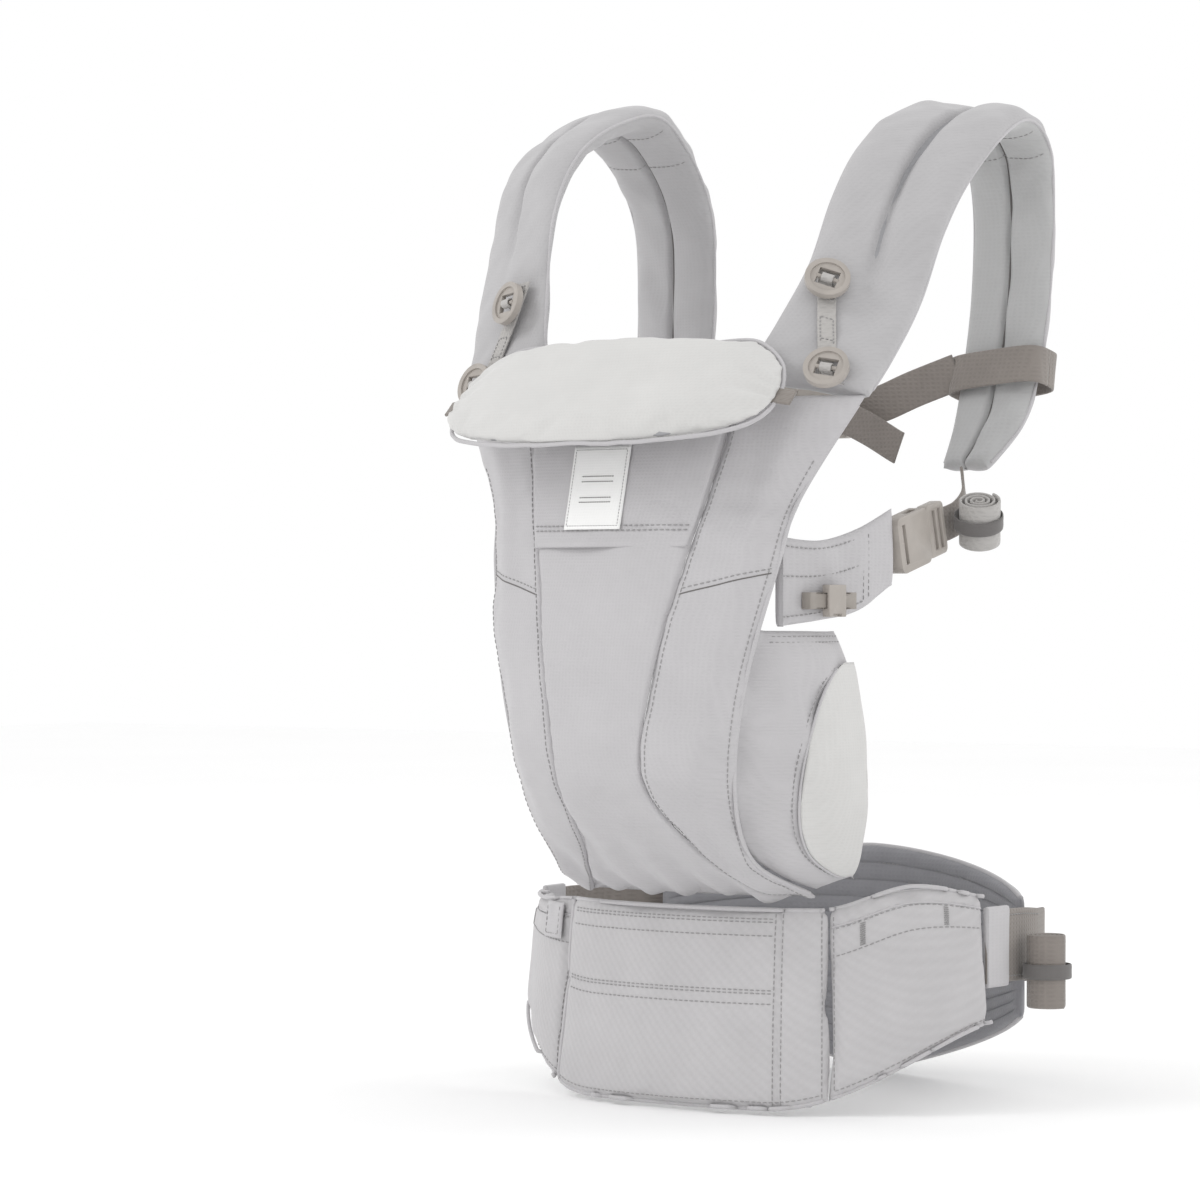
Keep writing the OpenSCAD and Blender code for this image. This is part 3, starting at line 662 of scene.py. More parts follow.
def wing_point(k, s, side=1, off=0.0):
    q = curve(WING, k)
    a, b = q[..., 1:3], q[..., 3:5]
    d = unit(b - a)
    n = np.stack([d[..., 1], -d[..., 0]], -1)
    xy = a + (b - a) * s[..., None] + n * (q[..., 5] * np.sin(np.pi * np.clip(s, 0, 1)) + off)[..., None]
    z = q[..., 0] + 10 * s * np.maximum(0, 1 - k)
    return np.stack([side * xy[..., 0], xy[..., 1], z], -1)


def lens_start(k):
    return 1 - 0.64 * np.sqrt(np.maximum(0.004, 1 - ((k - 1.72) / 1.62) ** 2))


def make_wings():
    for side, word in SIDES:
        wing = lambda u, v, side=side: wing_point(4 * u, 1.1 * v - 0.1, side)
        lens = lambda u, v, side=side: wing_point(0.12 + 3.18 * u,
                                                  lens_start(0.12 + 3.18 * u) * (1 - v) + v, side, 3.2)
        arm = lambda u, v, side=side: arm_point(1.09 * u - 0.09, v, side)
        folds = lambda u, v, p: waves(p, 48, 21) \
            + 1.4 * np.sin(p[..., 2] * 0.12 + 2 * v) * np.exp(-(v / 0.35) ** 2)
        soft_shell(f"seat_wing_{word}_cloth", wing, 70, 50, 5.5, MAIN, -side, power=(16, 16), bump=folds,
                   replaces=f"seat_wing_{word}")
        puffed = lambda u, v, p: 0.7 * waves(p, 40, 22)
        soft_shell(f"seat_lining_{word}_cloth", lens, 60, 30, 2.4, LINING, -side, power=(6, 6), bump=puffed,
                   replaces=f"seat_lining_{word}")
        ks = np.linspace(0.25, 3.2, 90)
        lines = [(wing_point(ks, lens_start(ks) - 0.05, side, 0.4), side * np.ones((90, 3)) * [1, 0, 0])]
        across = np.linspace(0.06, 0.93, 50)
        lines += [(wing_point(np.full(50, k), across, side, 0.7), side * np.ones((50, 3)) * [1, 0, 0])
                  for k in (3.82, 3.68)]
        stitches(f"seat_wing_{word}_stitching", lines, THREAD)
        tube(f"seat_lining_{word}_piping", wing_point(ks, lens_start(ks) - 0.005, side, 1.2), 1.0, MAIN)
        soft_shell(f"underarm_wing_{word}_cloth", arm, 70, 36, 5.0, MAIN, side, power=(16, 8),
                   bump=lambda u, v, p: 0.8 * waves(p, 42, 31), replaces=f"underarm_wing_{word}")
        us = np.linspace(0.05, 0.72, 60)
        edge = [on_surface(arm, us, np.full(60, k), side, 0.5) for k in (0.10, 0.90)]
        edge += [on_surface(arm, us, np.full(60, 0.56), side, 0.5)]
        edge += [on_surface(arm, np.full(20, k), np.linspace(0.1, 0.9, 20), side, 0.5) for k in (0.72, 0.76)]
        stitches(f"underarm_wing_{word}_stitching", edge, THREAD)


def arm_point(u, v, side=1):
    q = curve(ARM, 3 * u)
    return np.stack([side * q[..., 1], q[..., 0], q[..., 2] + (q[..., 3] - q[..., 2]) * v], -1)


# ---------------------------------------------------------------- shoulder straps
STRAP_W = 86.0
# x, y, z, width share, turn in degrees
STRAP = {
    1: [[119, -163, 478, 1, 15], [127, -142, 508, 0.94, 25], [132, -111, 548, 0.9, 32],
        [135, -86, 595, 0.9, 32], [136, -55, 631, 0.92, 26], [136, -10, 660, 0.95, 14],
        [132, 45, 672, 0.88, 4],
        [128, 88, 656, 0.8, 0], [125, 105, 618, 0.74, 0], [124, 104, 560, 0.72, 0], [123, 93, 505, 0.7, 0],
        [120, 78, 462, 0.62, 0], [110, 62, 432, 0.4, 0]],
    -1: [[119, -163, 478, 1, 12], [126, -153, 508, 0.94, 18], [130, -140, 550, 0.9, 22],
         [133, -126, 600, 0.9, 24], [136, -98, 640, 0.9, 20], [136, -54, 668, 0.92, 12],
         [136, -6, 680, 0.9, 4],
         [136, 40, 654, 0.84, 0], [136, 66, 615, 0.79, 0], [136, 70, 560, 0.77, 0], [135, 65, 505, 0.74, 0],
         [128, 53, 462, 0.66, 0], [115, 40, 432, 0.42, 0]],
}


def strap_axes(side, s):
    """At s: the strap's middle, and the directions across it and out of its outer face."""
    q = curve(STRAP[side], s)
    d = curve(STRAP[side], s + 0.02) - curve(STRAP[side], s - 0.02)
    d = unit(np.stack([0 * q[..., 0], d[..., 1], d[..., 2]], -1))
    n = np.stack([0 * q[..., 0], -d[..., 2], d[..., 1]], -1)
    turn = np.radians(q[..., 4])[..., None]
    x = np.array([1.0, 0, 0])
    flip = np.array([side, 1, 1])
    return q[..., :3] * flip, (x * np.cos(turn) - n * np.sin(turn)) * flip, \
        (n * np.cos(turn) + x * np.sin(turn)) * flip


def strap_surface(side):
    def at(u, v):
        s = STRAP_SPANS * u
        p, wide, _ = strap_axes(side, s)
        share = curve(STRAP[side], s)[..., 3]
        return p + wide * ((2 * v - 1) * share * STRAP_W / 2)[..., None]
    return at


def strap_bump(side):
    def at(u, v, p):
        s = STRAP_SPANS * u
        start = 2.0 if side > 0 else 2.6
        parted = ease((s - start) / 1.6)
        groove = -8.0 * np.exp(-((2 * v - 1) / 0.08) ** 2) * parted * (1 - ease((s - 10.5) / 1.2))
        crown = 1.8 * np.sin(np.pi * np.clip(v * 2 % 1, 0, 1)) * parted
        joined = 3.5 * (1 - ease((s - 0.2) / 1.2))
        dimple = -4.0 * np.exp(-((s - start - 0.4) / 0.5) ** 2 - ((2 * v - 1.05) / 0.12) ** 2)
        bend = 1.1 * np.sin(s * 8.5 + 2.4 * v) * np.exp(-((s - 7.0) / 1.8) ** 2)
        return groove + crown + joined + dimple + 0.9 * bend + 1.5 * waves(p, 55, 41 + side) \
            + 0.5 * waves(p, 22, 43)
    return at


def strap_back(side):
    def at(u, v, p):
        s = STRAP_SPANS * u
        seam = -4.2 * np.exp(-((2 * v - 1) / 0.06) ** 2) * ease((s - 3.5) / 1.0)
        dents = 1.0 * np.sin(s * 7.0 + 1.5 * np.sin(9 * v)) * (v > 0.5) * ease((s - 6.4) / 0.8)
        return seam + dents + 1.4 * np.sin(np.pi * np.clip(v * 2 % 1, 0, 1)) + 0.6 * waves(p, 38, 47 + side)
    return at


def make_straps():
    for side, word in SIDES:
        surf = strap_surface(side)
        # The rear face takes the lining on the right strap but the outer cloth on the left, a hair darker:
        # painted shade on the left strap's rear face.
        cloth = soft_shell(f"shoulder_strap_{word}_cloth", surf, 260, 56, STRAP_T - 4,
                   [STRAP_CLOTH, STRAP_INNER if side > 0 else STRAP_CLOTH], -side, skin=False,
                   power=(50, 5), bump=strap_bump(side), back=strap_back(side),
                   replaces=f"shoulder_strap_cover_{word}")
        bands = []
        for s in (6.25, 6.95):
            v = np.linspace(0.04, 0.96, 40)
            u = np.full(40, (s + 0.12 * side) / STRAP_SPANS)
            bands.append(on_surface(surf, u, v, side, STRAP_T / 2 + 0.2))
        tree = cloth_tree(cloth)
        stitches(f"shoulder_strap_{word}_band_stitching", [laid(tree, k) for k in bands], THREAD)
        us = np.linspace(0.3, 0.98, 260)
        seam = on_surface(surf, us, np.full(260, 0.5), side, 4.0)[0]
        tube(f"shoulder_strap_{word}_inner_seam", seam, 0.7, THREAD_DARK)
        for k, tag in ((0.004, "a"), (0.996, "b")):
            full = np.linspace(0.02, 0.985, 320)
            rim = on_surface(surf, full, np.full(320, k), side, 0.6)[0]
            tube(f"shoulder_strap_{word}_edge_{tag}", rim, 1.2, MAIN)


# ---------------------------------------------------------------- waist belt
def ring_point(t, off, z):
    half = np.where(t < 0, 178.0, 190.0)
    flare = 14 * (1 - z / BELT_HEIGHT)
    a = np.radians(t)
    return np.stack([(half + off + flare) * np.sin(a), -(130 + off + flare) * np.cos(a), z + 0 * a], -1)


def belt_low(t):
    return 60 * ease((np.abs(t) - 20) / 56)


def belt_high(t):
    left = -4 * ease((np.abs(t) - 30) / 22)
    right = 16 * ease((np.abs(t) - 30) / 22) - 10 * ease((np.abs(t) - 52) / 24)
    return BELT_HEIGHT + np.where(t < 0, left, right)


def belt_surface(t0, t1, off):
    def at(u, v):
        t = t0 + (t1 - t0) * u
        low, high = belt_low(t), belt_high(t)
        return ring_point(t, off, low + (high - low) * v)
    return at


def line(a, b, n=60):
    return np.linspace(a, b, n)


def flat_line(n, k):
    return np.full(n, float(k))


def dent(values, places, width, deep):
    return -sum(deep * np.exp(-((values - k) / width) ** 2) for k in places)


def reshaped(obj, surface, sign, change, lift=40.0):
    """Presses seams and creases into a pad, moving its vertices near the surface along its normal."""
    us, vs = grid(90, 60)
    ring = surface(us, vs)
    norm = (normals(surface, us, vs) * sign).reshape(-1, 3)
    spots = ring.reshape(-1, 3)
    amount = change(us, vs, ring).reshape(-1)
    co = np.array([v.co[:] for v in obj.data.vertices])
    local = (co - SHIFT) / MM
    for start in range(0, len(local), 2000):
        part = local[start:start + 2000]
        far = np.linalg.norm(part[:, None] - spots[None], axis=2)
        k = far.argmin(axis=1)
        near = np.clip(1 - far[np.arange(len(part)), k] / lift, 0, 1)
        part += norm[k] * (amount[k] * near)[:, None]
        local[start:start + 2000] = part
    for v, q in zip(obj.data.vertices, put(local)):
        v.co = q


def make_belt():
    front = belt_surface(-33, 33, 7)
    pad = soft_shell("belt_front_cloth", belt_surface(-33.6, 33.6, 5.5), 90, 50, 11.5, TWILL, 1,
                     power=(16, 12), replaces="belt_front_cover")
    puff(pad, pressure=3, cap=3.0, voxel=4.5)
    subdivided(pad)
    # Two upright seams divide the front; faint quilting lines cross it
    change = lambda u, v, p: dent(u, (0.842,), 0.010, 1.6) + dent(v, (0.89, 0.56), 0.03, 0.5) * (u < 0.84) \
        + 0.9 * waves(p, 90, 51) + 0.5 * np.sin(u * 22) * np.exp(-(v / 0.25) ** 2)
    reshaped(pad, front, 1, change, 12)
    lines = []
    for k in (0.830, 0.854, 0.975):
        lines.append(on_surface(front, flat_line(60, k), line(0.04, 0.96), 1, 0.15))
    for k in (0.93, 0.915, 0.85, 0.59, 0.575, 0.525):
        lines.append(on_surface(front, line(0.05, 0.825, 90), flat_line(90, k), 1, 0.2))
    lines.append(on_surface(front, line(0.03, 0.97, 120), flat_line(120, 0.06), 1, -0.4))
    tree = cloth_tree(pad)
    stitches("belt_front_stitching", [laid(tree, k) for k in lines], THREAD)
    edge = [on_surface(front, line(0.02, 0.98, 120), flat_line(120, 0.975), 1),
            on_surface(front, flat_line(60, 0.02), line(0.03, 0.97), 1),
            on_surface(front, line(0.02, 0.98, 120), flat_line(120, 0.03), 1)]
    for tag, points in zip("abc", edge):
        tube(f"belt_front_piping_{tag}", laid(tree, points, 0.3)[0], 1.5, MAIN)
    for side, word in SIDES:
        t0, t1 = (32.2, BELT_END) if side > 0 else (-BELT_END, -32.2)
        wing = belt_surface(t0, t1, 7)
        pad = soft_shell(f"belt_wing_{word}_cloth", belt_surface(t0, t1, 5.5), 70, 46, 11.5, TWILL, 1,
                         power=(18, 12), replaces=f"belt_wing_cover_{word}")
        puff(pad, pressure=3, cap=2.5, voxel=4.5)
        subdivided(pad)
        hem = 0.885
        change = lambda u, v, p: dent(v, (hem,), 0.012, 1.3) + 0.9 * waves(p, 75, 53) + 0.5 * waves(p, 34, 54)
        reshaped(pad, wing, 1, change, 12)
        lines = [on_surface(wing, line(0.05, 0.95, 80), flat_line(80, k), 1, 0.25) for k in (0.872, 0.735)]
        lines.append(on_surface(wing, line(0.04, 0.96, 80), flat_line(80, 0.06), 1, -0.3))
        near = 0.04 if side > 0 else 0.96
        lines.append(on_surface(wing, flat_line(50, near), line(0.06, 0.94, 50), 1, 0.0))
        tree = cloth_tree(pad)
        stitches(f"belt_wing_{word}_stitching", [laid(tree, k) for k in lines], THREAD)
        tacks = []
        for a in (0.20, 0.70) if side > 0 else (0.30, 0.80):
            for k in np.linspace(-0.012, 0.012, 5):
                tacks.append(on_surface(wing, flat_line(16, a + k), line(0.745, 0.865, 16), 1, 0.35))
        stitches(f"belt_wing_{word}_bartacks", [laid(tree, k) for k in tacks], THREAD, pitch=1.3, wide=0.9)
        tube(f"belt_wing_{word}_hem",
             laid(tree, on_surface(wing, line(0.03, 0.97, 90), flat_line(90, hem), 1), -0.2)[0], 0.9, MAIN)
        for tag, k in (("a", 0.975), ("b", 0.03)):
            tube(f"belt_wing_{word}_piping_{tag}",
                 laid(tree, on_surface(wing, line(0.02, 0.98, 90), flat_line(90, k), 1), 0.3)[0], 1.4, MAIN)


def flap_surface(u, v):
    t = -44 + 9 * u
    return ring_point(t, 10, 106 + 25 * v)


def make_flap():
    flap = soft_shell("pocket_flap_cloth", flap_surface, 30, 30, 2.4, MAIN, 1, power=(20, 20),
               bump=lambda u, v, p: 0.4 * waves(p, 18, 61), replaces="belt_pocket_flap")
    loop = [on_surface(flap_surface, flat_line(20, k), line(0.1, 0.9, 20), 1, 0.1) for k in (0.12, 0.88)]
    loop.append(on_surface(flap_surface, line(0.12, 0.88, 20), flat_line(20, 0.12), 1, 0.1))
    stitches("pocket_flap_stitching", loop, THREAD)


# ---------------------------------------------------------------- back support
LUMBAR_START = 122.0


def lumbar_point(t, v, off):
    side = np.abs(t - 180) / (180 - LUMBAR_START)
    low, high = 53 * side**1.1, 163 - 30 * side**1.5
    half = np.where(t > 180, 178.0, 190.0)
    a = np.radians(t)
    z = low + (high - low) * v
    return np.stack([(half + off) * np.sin(a), -(130 + off) * np.cos(a), z], -1)


def lumbar_at(u, v, off):
    return lumbar_point(LUMBAR_START + 2 * (180 - LUMBAR_START) * u, v, off)


def lumbar_surface(u, v):
    return lumbar_at(u, v, -3.0)


LUMBAR_ROWS = 13


def lumbar_quilt(u, v, p):
    """Sewn channels across the pad's inside face, each a soft roll."""
    k = v * LUMBAR_ROWS
    inside = ease(u / 0.05) * ease((1 - u) / 0.05)
    roll = 1.9 * np.sqrt(np.maximum(0.0, np.sin(math.pi * (k % 1)))) - 1.5
    return roll * inside + 0.35 * waves(p, 26, 71)


def make_lumbar():
    soft_shell("lumbar_cloth", lumbar_surface, 130, 182, 12.0, INNER, 1, power=(14, 18),
               bump=lambda u, v, p: 0.8 * waves(p, 70, 72), back=lumbar_quilt, replaces="lumbar_cover")
    inner = lambda u, v: lumbar_at(u, v, -14.2)
    lines = [on_surface(inner, line(0.05, 0.95, 110), flat_line(110, k / LUMBAR_ROWS), -1, -0.9)
             for k in range(1, LUMBAR_ROWS)]
    stitches("lumbar_channel_stitching", lines, THREAD)
    for tag, k in (("a", 0.996), ("b", 0.004)):
        tube(f"lumbar_piping_{tag}", lumbar_at(line(0.01, 0.99, 120), flat_line(120, k), -9), 2.0, MAIN)


# ---------------------------------------------------------------- webbing, rolls and small hardware
WEB_RIGHT = [[185.2, -43.4, 84], [187, -20, 84], [184.5, 10, 83], [177, 45, 80], [163, 76, 78],
             [132, 103, 72], [98, 124, 66], [72, 135, 62], [52.6, 139, 60]]
WEB_LEFT = [[-13.6, 139, 60], [-53, 139, 60], [-72, 135, 62], [-96, 124, 66], [-124, 103, 72],
            [-152, 76, 78], [-169, 42, 82], [-176, 4, 84], [-176, -22, 84], [-173.9, -43.4, 84]]


def raised(path, by):
    return [[x, y, z + by] for x, y, z in path]


def edge_stitching(name, path, width, wide, mat, inset=4.0, lift=1.0, sign=1, part=(0.0, 1.0)):
    """Stitches along both selvedges of a webbing, over part of its length."""
    s = np.linspace(part[0], part[1], 120) * (len(path) - 1)
    p = curve(path, s)
    d = unit(np.gradient(p, axis=0))
    w = np.broadcast_to(np.asarray(wide, dtype=float), p.shape)
    h = unit(np.cross(d, w)) * sign
    w = unit(np.cross(h, d))
    lines = [(p + w * k * (width / 2 - inset) + h * lift, h) for k in (-1, 1)]
    stitches(name, lines, mat)


def roll_axes(axis):
    axis = unit(np.asarray(axis, dtype=float))
    a = unit(np.cross(axis, [0.3, 1, 0.2]))
    return axis, a, np.cross(axis, a)


def spiral_roll(name, centre, axis, radius, width, mat, body, turns=3.4, start=0.0,
                replaces=(), thick=1.7):
    """Webbing rolled on itself: one ribbon wound from the middle out, lying edge to edge."""
    axis, a, b = roll_axes(axis)
    ang = np.linspace(0, turns * 2 * math.pi, 260)
    r = 1.6 + (radius - thick / 2 - 1.6) * ang / ang[-1]
    out = a * np.cos(ang + start)[:, None] + b * np.sin(ang + start)[:, None]
    path = np.asarray(centre, dtype=float) + out * r[:, None]
    return ribbon(name, path, width, axis, mat, thick=thick, steps=320, body=body, replaces=replaces)


def elastic_band(name, centre, axis, radius, width, body, replaces, steps=72):
    """Flat knitted elastic stretched round a roll."""
    axis, a, b = roll_axes(axis)
    ang = np.linspace(0, 2 * math.pi, steps, endpoint=False)
    profile = [(-0.5, 0.2), (-0.47, 0.9), (-0.3, 1.1), (0, 1.0), (0.3, 1.1), (0.47, 0.9), (0.5, 0.2),
               (0.4, -0.1), (0, -0.2), (-0.4, -0.1)]
    out = np.cos(ang)[:, None] * a + np.sin(ang)[:, None] * b
    rib = 0.12 * np.sin(ang * steps / 2)[:, None]
    rings = [np.asarray(centre) + out * (radius + h + rib) + axis * k * width for k, h in profile]
    swept(name, np.stack(rings, 1), THREAD_DARK, body, replaces, closed=True)


def moved_copy(node, name, mat, body, bevel=0.5):
    """The part's own moulding with its edges softened, in place of the CAD node."""
    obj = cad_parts[node].copy()
    obj.data = obj.data.copy()
    for key in list(obj.keys()):
        if key.startswith("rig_"):
            del obj[key]
    obj.parent = None
    obj.matrix_world = Matrix.Identity(4)
    obj.name = name
    obj.data.name = name
    bpy.context.scene.collection.objects.link(obj)
    obj.data.materials.clear()
    obj.data.materials.append(mat)
    bm = bmesh.new()
    bm.from_mesh(obj.data)
    bmesh.ops.remove_doubles(bm, verts=bm.verts, dist=1e-6)
    bmesh.ops.dissolve_limit(bm, angle_limit=math.radians(1.0), verts=bm.verts, edges=bm.edges)
    bm.to_mesh(obj.data)
    bm.free()
    mod = obj.modifiers.new("soft_edges", "BEVEL")
    mod.width = bevel * MM
    mod.segments = 3
    mod.limit_method = "ANGLE"
    mod.angle_limit = math.radians(35)
    mod.harden_normals = True
    apply_modifiers(obj)
    obj.data.polygons.foreach_set("use_smooth", [True] * len(obj.data.polygons))
    finish_piece(obj, body, node)
    return obj


def make_waist_webbing():
    up = (0, 0, 1)
    for word, path in (("right", WEB_RIGHT), ("left", WEB_LEFT)):
        piece = ribbon(f"waist_webbing_{word}_band", raised(path, 25), WAIST_WEB, up, WEB_DARK,
                       thick=2.0, steps=110, body="root" if word == "right" else None,
                           replaces=f"waist_webbing_{word}")
        if word == "left":
            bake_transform(piece)
        edge_stitching(f"waist_webbing_{word}_stitching", raised(path, 25), WAIST_WEB, up, THREAD,
                       part=(0.0, 0.35) if word == "right" else (0.75, 1.0), lift=1.15,
                       sign=1)
    for word, path, part in (("right", WEB_RIGHT, (0.0, 0.13)), ("left", WEB_LEFT, (0.87, 1.0))):
        n = len(path) - 1
        s = np.linspace(part[0] * n, part[1] * n, 12)
        sleeve = ribbon(f"waist_sleeve_{word}", raised(curve(path, s).tolist(), 25), 54, up, MAIN,
                        thick=4.6, steps=40)
    centre, axis = np.array([204.5, 6, 91]), (0, 0, 1)
    spiral_roll("waist_tail_roll_web", centre, axis, 15.0, WAIST_WEB, WEB_DARK, "root", turns=4.2, start=2.0,
                replaces="waist_tail_roll")
    elastic_band("waist_tail_elastic_band", centre, axis, 15.4, 10, "root", "waist_tail_elastic")
    for x, y, yaw, tag in ((98, 124, -28, "right"), (-96, 124, 28, "left")):
        keeper(f"webbing_keeper_{tag}", (x, y, 91), yaw, "lumbar_webbing_loops" if tag == "right" else ())


def keeper(name, centre, yaw, replaces):
    """Flat fabric loop sewn to the back support, which the waist webbing runs through."""
    a = math.radians(yaw)
    along = np.array([math.cos(a), math.sin(a), 0.0])
    out = np.array([-math.sin(a), math.cos(a), 0.0])
    loop = []
    for k in np.linspace(0, 2 * math.pi, 40, endpoint=False):
        c, s = math.cos(k), math.sin(k)
        r = 28.5 * np.sign(s) * abs(s) ** 0.35
        w = 4.2 * np.sign(c) * abs(c) ** 0.55
        loop.append(np.asarray(centre, dtype=float) + np.array([0, 0, 1.0]) * r + out * w)
    loop.append(loop[0])
    ribbon(name, loop, 16, along, INNER, thick=1.5, steps=120, replaces=replaces)


UNDERARM = {
    1: [[126.5, 0.4, 391], [126.5, 20, 396], [124, 36, 404], [116, 50, 415], [110, 58, 424]],
    -1: [[126.5, 0.4, 391], [126, 10, 394], [123, 20, 401], [118, 29, 413], [114, 36, 424]],
}


def make_underarm():
    for side, word in SIDES:
        flip = np.array([side, 1, 1])
        path = [list(np.array(p) * flip) for p in UNDERARM[side]]
        piece = ribbon(f"underarm_webbing_{word}_band", path, UNDERARM_WEB, (0, 0.24, -0.97), WEB_DARK,
                       thick=2.0, steps=50, body=None, replaces=f"underarm_webbing_{word}")
        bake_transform(piece)
        axis = unit(np.array([0.22 * side, -0.38, 0.9]))
        foot = np.array([144.5 * side, 19, 381.0])
        male = f"underarm_male_{word}"
        spiral_roll(f"underarm_roll_{word}_web", foot + axis * 14, axis, 15.5, 33, WEB_LIGHT, male,
                    turns=3.6, start=1.0, replaces=f"underarm_roll_{word}")
        elastic_band(f"underarm_roll_{word}_band", foot + axis * 14.5, axis, 15.9, 10, male,
                     f"underarm_roll_elastic_{word}")
        for node, body in (("female", "root"), ("male", male)):
            moved_copy(f"underarm_buckle_{node}_{word}", f"underarm_clip_{node}_{word}", HARD, body, 0.5)
        moved_copy(f"underarm_slider_{word}", f"underarm_slide_{word}", HARD, f"slider_{word}", 0.5)
        moved_copy(f"underarm_track_{word}", f"underarm_rail_{word}", HARD_DARK, "root", 0.4)


STRIP_START = 0.1
STRIP_END = 2.0
UPPER_RING = 1.66
LOWER_RING = 0.2
HINGE_OFF = 9.0


def strip_place(side, s, off):
    """Middle of the button strip at s, off mm above the strap, with the strap's directions there."""
    p, wide, out = strap_axes(side, s)
    return p + wide * (17 - 24 * (s - STRIP_START))[..., None] + out * (STRAP_T / 2 + off), wide, out


def make_buttons():
    for side, word in SIDES:
        s = np.linspace(STRIP_START - 0.25, STRIP_END, 40)
        path, wide, out = strip_place(side, s, 1.6)
        flat_tape(f"button_strip_{word}_band", path, wide, out, 13, 1.6, WEB_LIGHT, f"button_strip_{word}")
        lines = []
        for k in (-4.5, 4.5):
            for a, b in ((0, 0.34), (0.44, 0.66), (0.76, 0.99)):
                i, j = int(a * 39), int(b * 39)
                lines.append((path[i:j] + wide[i:j] * k + out[i:j] * 0.95, out[i:j]))
        for at in (0.02, 0.34, 0.48, 0.62, 0.76, 0.98):
            i = int(at * 39)
            across = path[i] + np.linspace(-4.5, 4.5, 10)[:, None] * wide[i]
            lines.append((across + out[i] * 0.95, np.repeat(out[i][None], 10, 0)))
        stitches(f"button_strip_{word}_stitching", lines, THREAD, pitch=2.6)
        for k, s0 in (("upper", UPPER_RING), ("lower", LOWER_RING)):
            ring_loop(f"ring_loop_{k}_{word}", side, s0)
            moved_copy(f"ring_button_{k}_{word}", f"ring_{k}_{word}", HARD, f"ring_{k}_{word}", 0.7)


def flat_tape(name, path, wide, out, width, thick, mat, replaces=()):
    """Tape that lies on a surface, turning with it."""
    profile = [(-0.5, 0.0), (-0.48, 0.42), (-0.42, 0.5), (0.0, 0.46), (0.42, 0.5), (0.48, 0.42), (0.5, 0.0),
               (0.48, -0.5), (-0.48, -0.5)]
    rings = [path + wide * a * width + out * b * thick for a, b in profile]
    return swept(name, np.stack(rings, 1), mat, "root", replaces)


def ring_loop(name, side, s0):
    """The loop of the strip's webbing that the ring's bar turns in."""
    base, wide, out = strip_place(side, np.array([s0]), 0.0)
    base, wide, out = base[0], wide[0], out[0]
    d = np.cross(out, wide)
    pts = [base + out * 1.8 + d * 2.2]
    for a in np.linspace(0.35, 2 * math.pi - 0.35, 26):
        pts.append(base + out * (HINGE_OFF - 2.7 * math.cos(a)) + d * 2.7 * math.sin(a))
    pts.append(base + out * 1.8 - d * 2.2)
    ribbon(name, pts, 8, wide, WEB_LIGHT, thick=1.0, steps=60)


def chest_loop(name, x, y, z, lean, body, half):
    """Webbing loop that goes right round the rear arm of a strap."""
    tilt = math.radians(-lean)
    pts = []
    for k in np.linspace(0, 2 * math.pi, 64, endpoint=False):
        c, s = math.cos(k), math.sin(k)
        px = half * np.sign(c) * abs(c) ** 0.45
        py = 20 * np.sign(s) * abs(s) ** 0.6
        pts.append([x + px, y + py * math.cos(tilt), z + py * math.sin(tilt) + 0.10 * px])
    pts.append(pts[0])
    wide = (0, -math.sin(tilt), math.cos(tilt))
    return ribbon(name, pts, CHEST_WEB, wide, WEB_DARK, thick=1.9, steps=200, body=body)


def make_chest():
    wide = (0, -0.1, 0.99)
    chest_loop("chest_loop_right", 123, 92, 498, 11, "chest_strap", 36)
    right = [[96, 76, 500], [64, 72, 489], [40, 67.2, 479], [20.2, 63.9, 474]]
    left = [[-47.8, 53.7, 474], [-64, 51.2, 475], [-80, 48.6, 479], [-97, 46.5, 485]]
    ribbon("chest_webbing_right_band", right, CHEST_WEB, wide, WEB_DARK, thick=1.9, steps=50,
           body="chest_strap", replaces="chest_webbing_right")
    chest_loop("chest_loop_left", -137, 64, 485, 11, "chest_strap", 39)
    piece = ribbon("chest_webbing_left_band", left, CHEST_WEB, wide, WEB_DARK, thick=1.9, steps=50, body=None,
                   replaces="chest_webbing_left")
    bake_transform(piece)
    tail = [[12, 54.8, 472], [38, 52.6, 460], [58, 51.5, 449], [63, 51.2, 446.5]]
    ribbon("chest_tail_band", tail, 24, wide, WEB_DARK, thick=1.8, steps=40, body="chest_strap",
           replaces="chest_tail_tab")
    moved_copy("chest_buckle_female", "chest_clip_female", HARD, "chest_strap", 0.5)
    moved_copy("chest_buckle_male", "chest_clip_male", HARD, "chest_male", 0.5)
    moved_copy("waist_buckle_female", "waist_clip_female", HARD, "root", 0.7)
    moved_copy("waist_buckle_male", "waist_clip_male", HARD, "waist_male", 0.7)


# ---------------------------------------------------------------- head pillow
PILLOW_TILT = math.radians(-47)
FOLD = np.array([-4.0, -178.0, 514.0])


def pillow_bow(x, z):
    """How far the pillow's ends bend back round the head."""
    return PILLOW_BOW * (2 * x / PILLOW_W) ** 2 * np.sqrt(np.sin(np.pi * np.clip(-z / PILLOW_L, 0, 1)))


def pillow_at(x, y, z):
    c, s = math.cos(PILLOW_TILT), math.sin(PILLOW_TILT)
    y = y + pillow_bow(x, z)
    return np.stack([FOLD[0] + x, FOLD[1] + y * c - z * s, FOLD[2] + y * s + z * c], -1)


def pillow_half(u):
    return PILLOW_W / 2 * np.maximum(0.02, 1 - (np.abs(2 * u - 0.86) / 1.16) ** 2.6) ** 0.5


def pillow_surface(u, v):
    return pillow_at(pillow_half(u) * (2 * v - 1), 0 * u, -PILLOW_L * (0.025 + 0.95 * u))


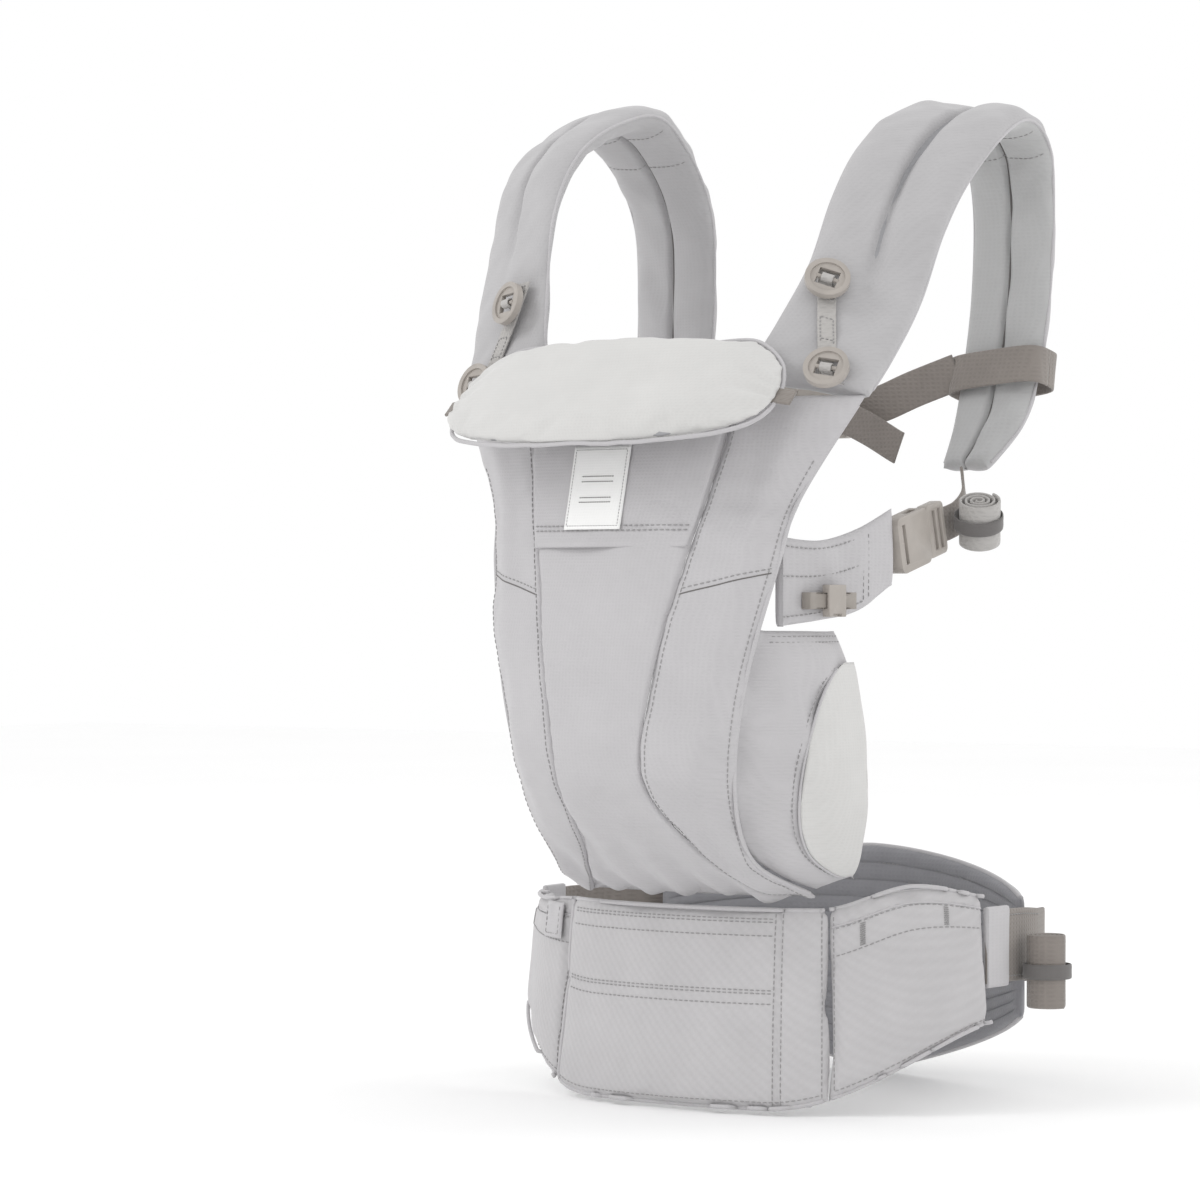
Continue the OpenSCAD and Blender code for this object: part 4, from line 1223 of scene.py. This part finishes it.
def pillow_local(co):
    """Points in the pillow's own directions: across, out of its face, and up along it."""
    q = (co - SHIFT) / MM - FOLD
    c, s = math.cos(PILLOW_TILT), math.sin(PILLOW_TILT)
    z = -q[:, 1] * s + q[:, 2] * c
    return np.stack([q[:, 0], q[:, 1] * c + q[:, 2] * s - pillow_bow(q[:, 0], z), z], -1)


def make_pillow():
    pad = soft_shell("head_pillow", pillow_surface, 40, 60, 19.0, [LINING, MAIN], 1, skin=False,
                     power=(3.2, 5),
                     body=None)
    puff(pad, pressure=5, cap=5.0, voxel=4.0)
    subdivided(pad)
    co = np.array([v.co[:] for v in pad.data.vertices])
    q = pillow_local(co)
    x, up = q[:, 0], q[:, 2] + PILLOW_L * PILLOW_MIDDLE
    end = ease((np.abs(x) - 78) / 52)
    fan = np.arctan2(up, 150 - np.abs(x))
    pucker = 1.5 * np.sin(fan * 17 + 0.8 * np.sign(x)) * end
    soft = 1.3 * waves(q, 85, 81) + 0.55 * waves(q, 34, 82) * (0.4 + 0.6 * end)
    edge = 1 - np.clip(np.abs(q[:, 1]) / 5.0, 0, 1)
    q[:, 1] += np.sign(q[:, 1]) * (pucker + soft) * (1 - edge)
    for v, p in zip(pad.data.vertices, put(pillow_at(q[:, 0], q[:, 1], q[:, 2]))):
        v.co = p
    outward(pad)
    middle = np.array([f.center[:] for f in pad.data.polygons])
    side = pillow_local(middle)[:, 1] > 2.5
    pad.data.materials.clear()
    pad.data.materials.append(LINING)
    pad.data.materials.append(MAIN)
    pad.data.polygons.foreach_set("material_index", side.astype(int))
    pad.data.polygons.foreach_set("use_smooth", [True] * len(pad.data.polygons))
    finish_piece(pad, "pillow", "pillow_cover")
    # The piping follows the pad's own outline, found by looking outwards from its middle
    rim = []
    flat = q[:, [0, 2]] - [0, -PILLOW_L * PILLOW_MIDDLE]
    for a in np.linspace(0, 2 * math.pi, 220, endpoint=False):
        d = np.array([math.cos(a), math.sin(a)])
        reach = flat @ d
        across = np.abs(flat @ np.array([-d[1], d[0]]))
        near = (across < 5) & (np.abs(q[:, 1] - 1.5) < 3.5) & (reach > 0)
        far = reach[near].max() if near.any() else 50
        rim.append([d[0] * far, 2.0, d[1] * far - PILLOW_L * PILLOW_MIDDLE])
    rim = np.array(rim)
    for _ in range(3):
        rim = (np.roll(rim, 1, 0) + 2 * rim + np.roll(rim, -1, 0)) / 4
    tube("head_pillow_piping", pillow_at(rim[:, 0], rim[:, 1], rim[:, 2]), 1.5, MAIN, "pillow",
         closed=True)
    for tag, k in (("right", 1), ("left", -1)):
        z = -PILLOW_L * PILLOW_MIDDLE
        path = np.array([[k * (121 + 4 * i), 1.0, z] for i in range(5)])
        points = pillow_at(path[:, 0], path[:, 1], path[:, 2])
        wide = pillow_at(np.array([0.0]), np.array([0.0]), np.array([1.0]))[0] - FOLD
        ribbon(f"head_pillow_tab_{tag}", points, 13, wide, WEB_DARK, thick=2.0, steps=20, body="pillow",
               replaces="pillow_tabs" if k > 0 else ())


# ---------------------------------------------------------------- everything together
def foam_core(name, surface, thick, node, sign=1, inset=0.05, skin=True, body="root"):
    """Foam inside a cover, a little smaller than it all round."""
    inner = lambda u, v: surface(inset + (1 - 2 * inset) * u, inset + (1 - 2 * inset) * v)
    soft_shell(name, inner, 40, 20, thick, FOAM, sign, skin=skin, power=(20, 10), replaces=node,
               body=body)


def make_foam():
    foam_core("belt_front_core", belt_surface(-33, 33, 3.0), 6.0, "belt_front_foam")
    foam_core("belt_wing_right_core", belt_surface(BELT_CORNER, BELT_END, 3.0), 6.0, "belt_wing_foam_right")
    foam_core("belt_wing_left_core", belt_surface(-BELT_END, -BELT_CORNER, 3.0), 6.0, "belt_wing_foam_left")
    foam_core("lumbar_core", lambda u, v: lumbar_at(u, v, -6.5), 5.0, "lumbar_foam")
    foam_core("head_pillow_core", pillow_surface, 7.0, "pillow_foam", inset=0.1, skin=False, body="pillow")
    for side, word in SIDES:
        foam_core(f"shoulder_strap_{word}_core", strap_surface(side), 5.0,
                  f"shoulder_strap_foam_{word}", -side, 0.08, skin=False)


def finish_cad_nodes():
    """Every node of the part carries a finish, though detailed pieces stand in for them."""
    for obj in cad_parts.values():
        obj.data.materials.clear()
        obj.data.materials.append(FOAM)


finish_cad_nodes()
make_foam()
make_body()
make_label()
make_wings()
make_straps()
make_belt()
make_flap()
make_lumbar()
make_waist_webbing()
make_underarm()
make_buttons()
make_chest()
make_pillow()
make_camera()
make_stage()
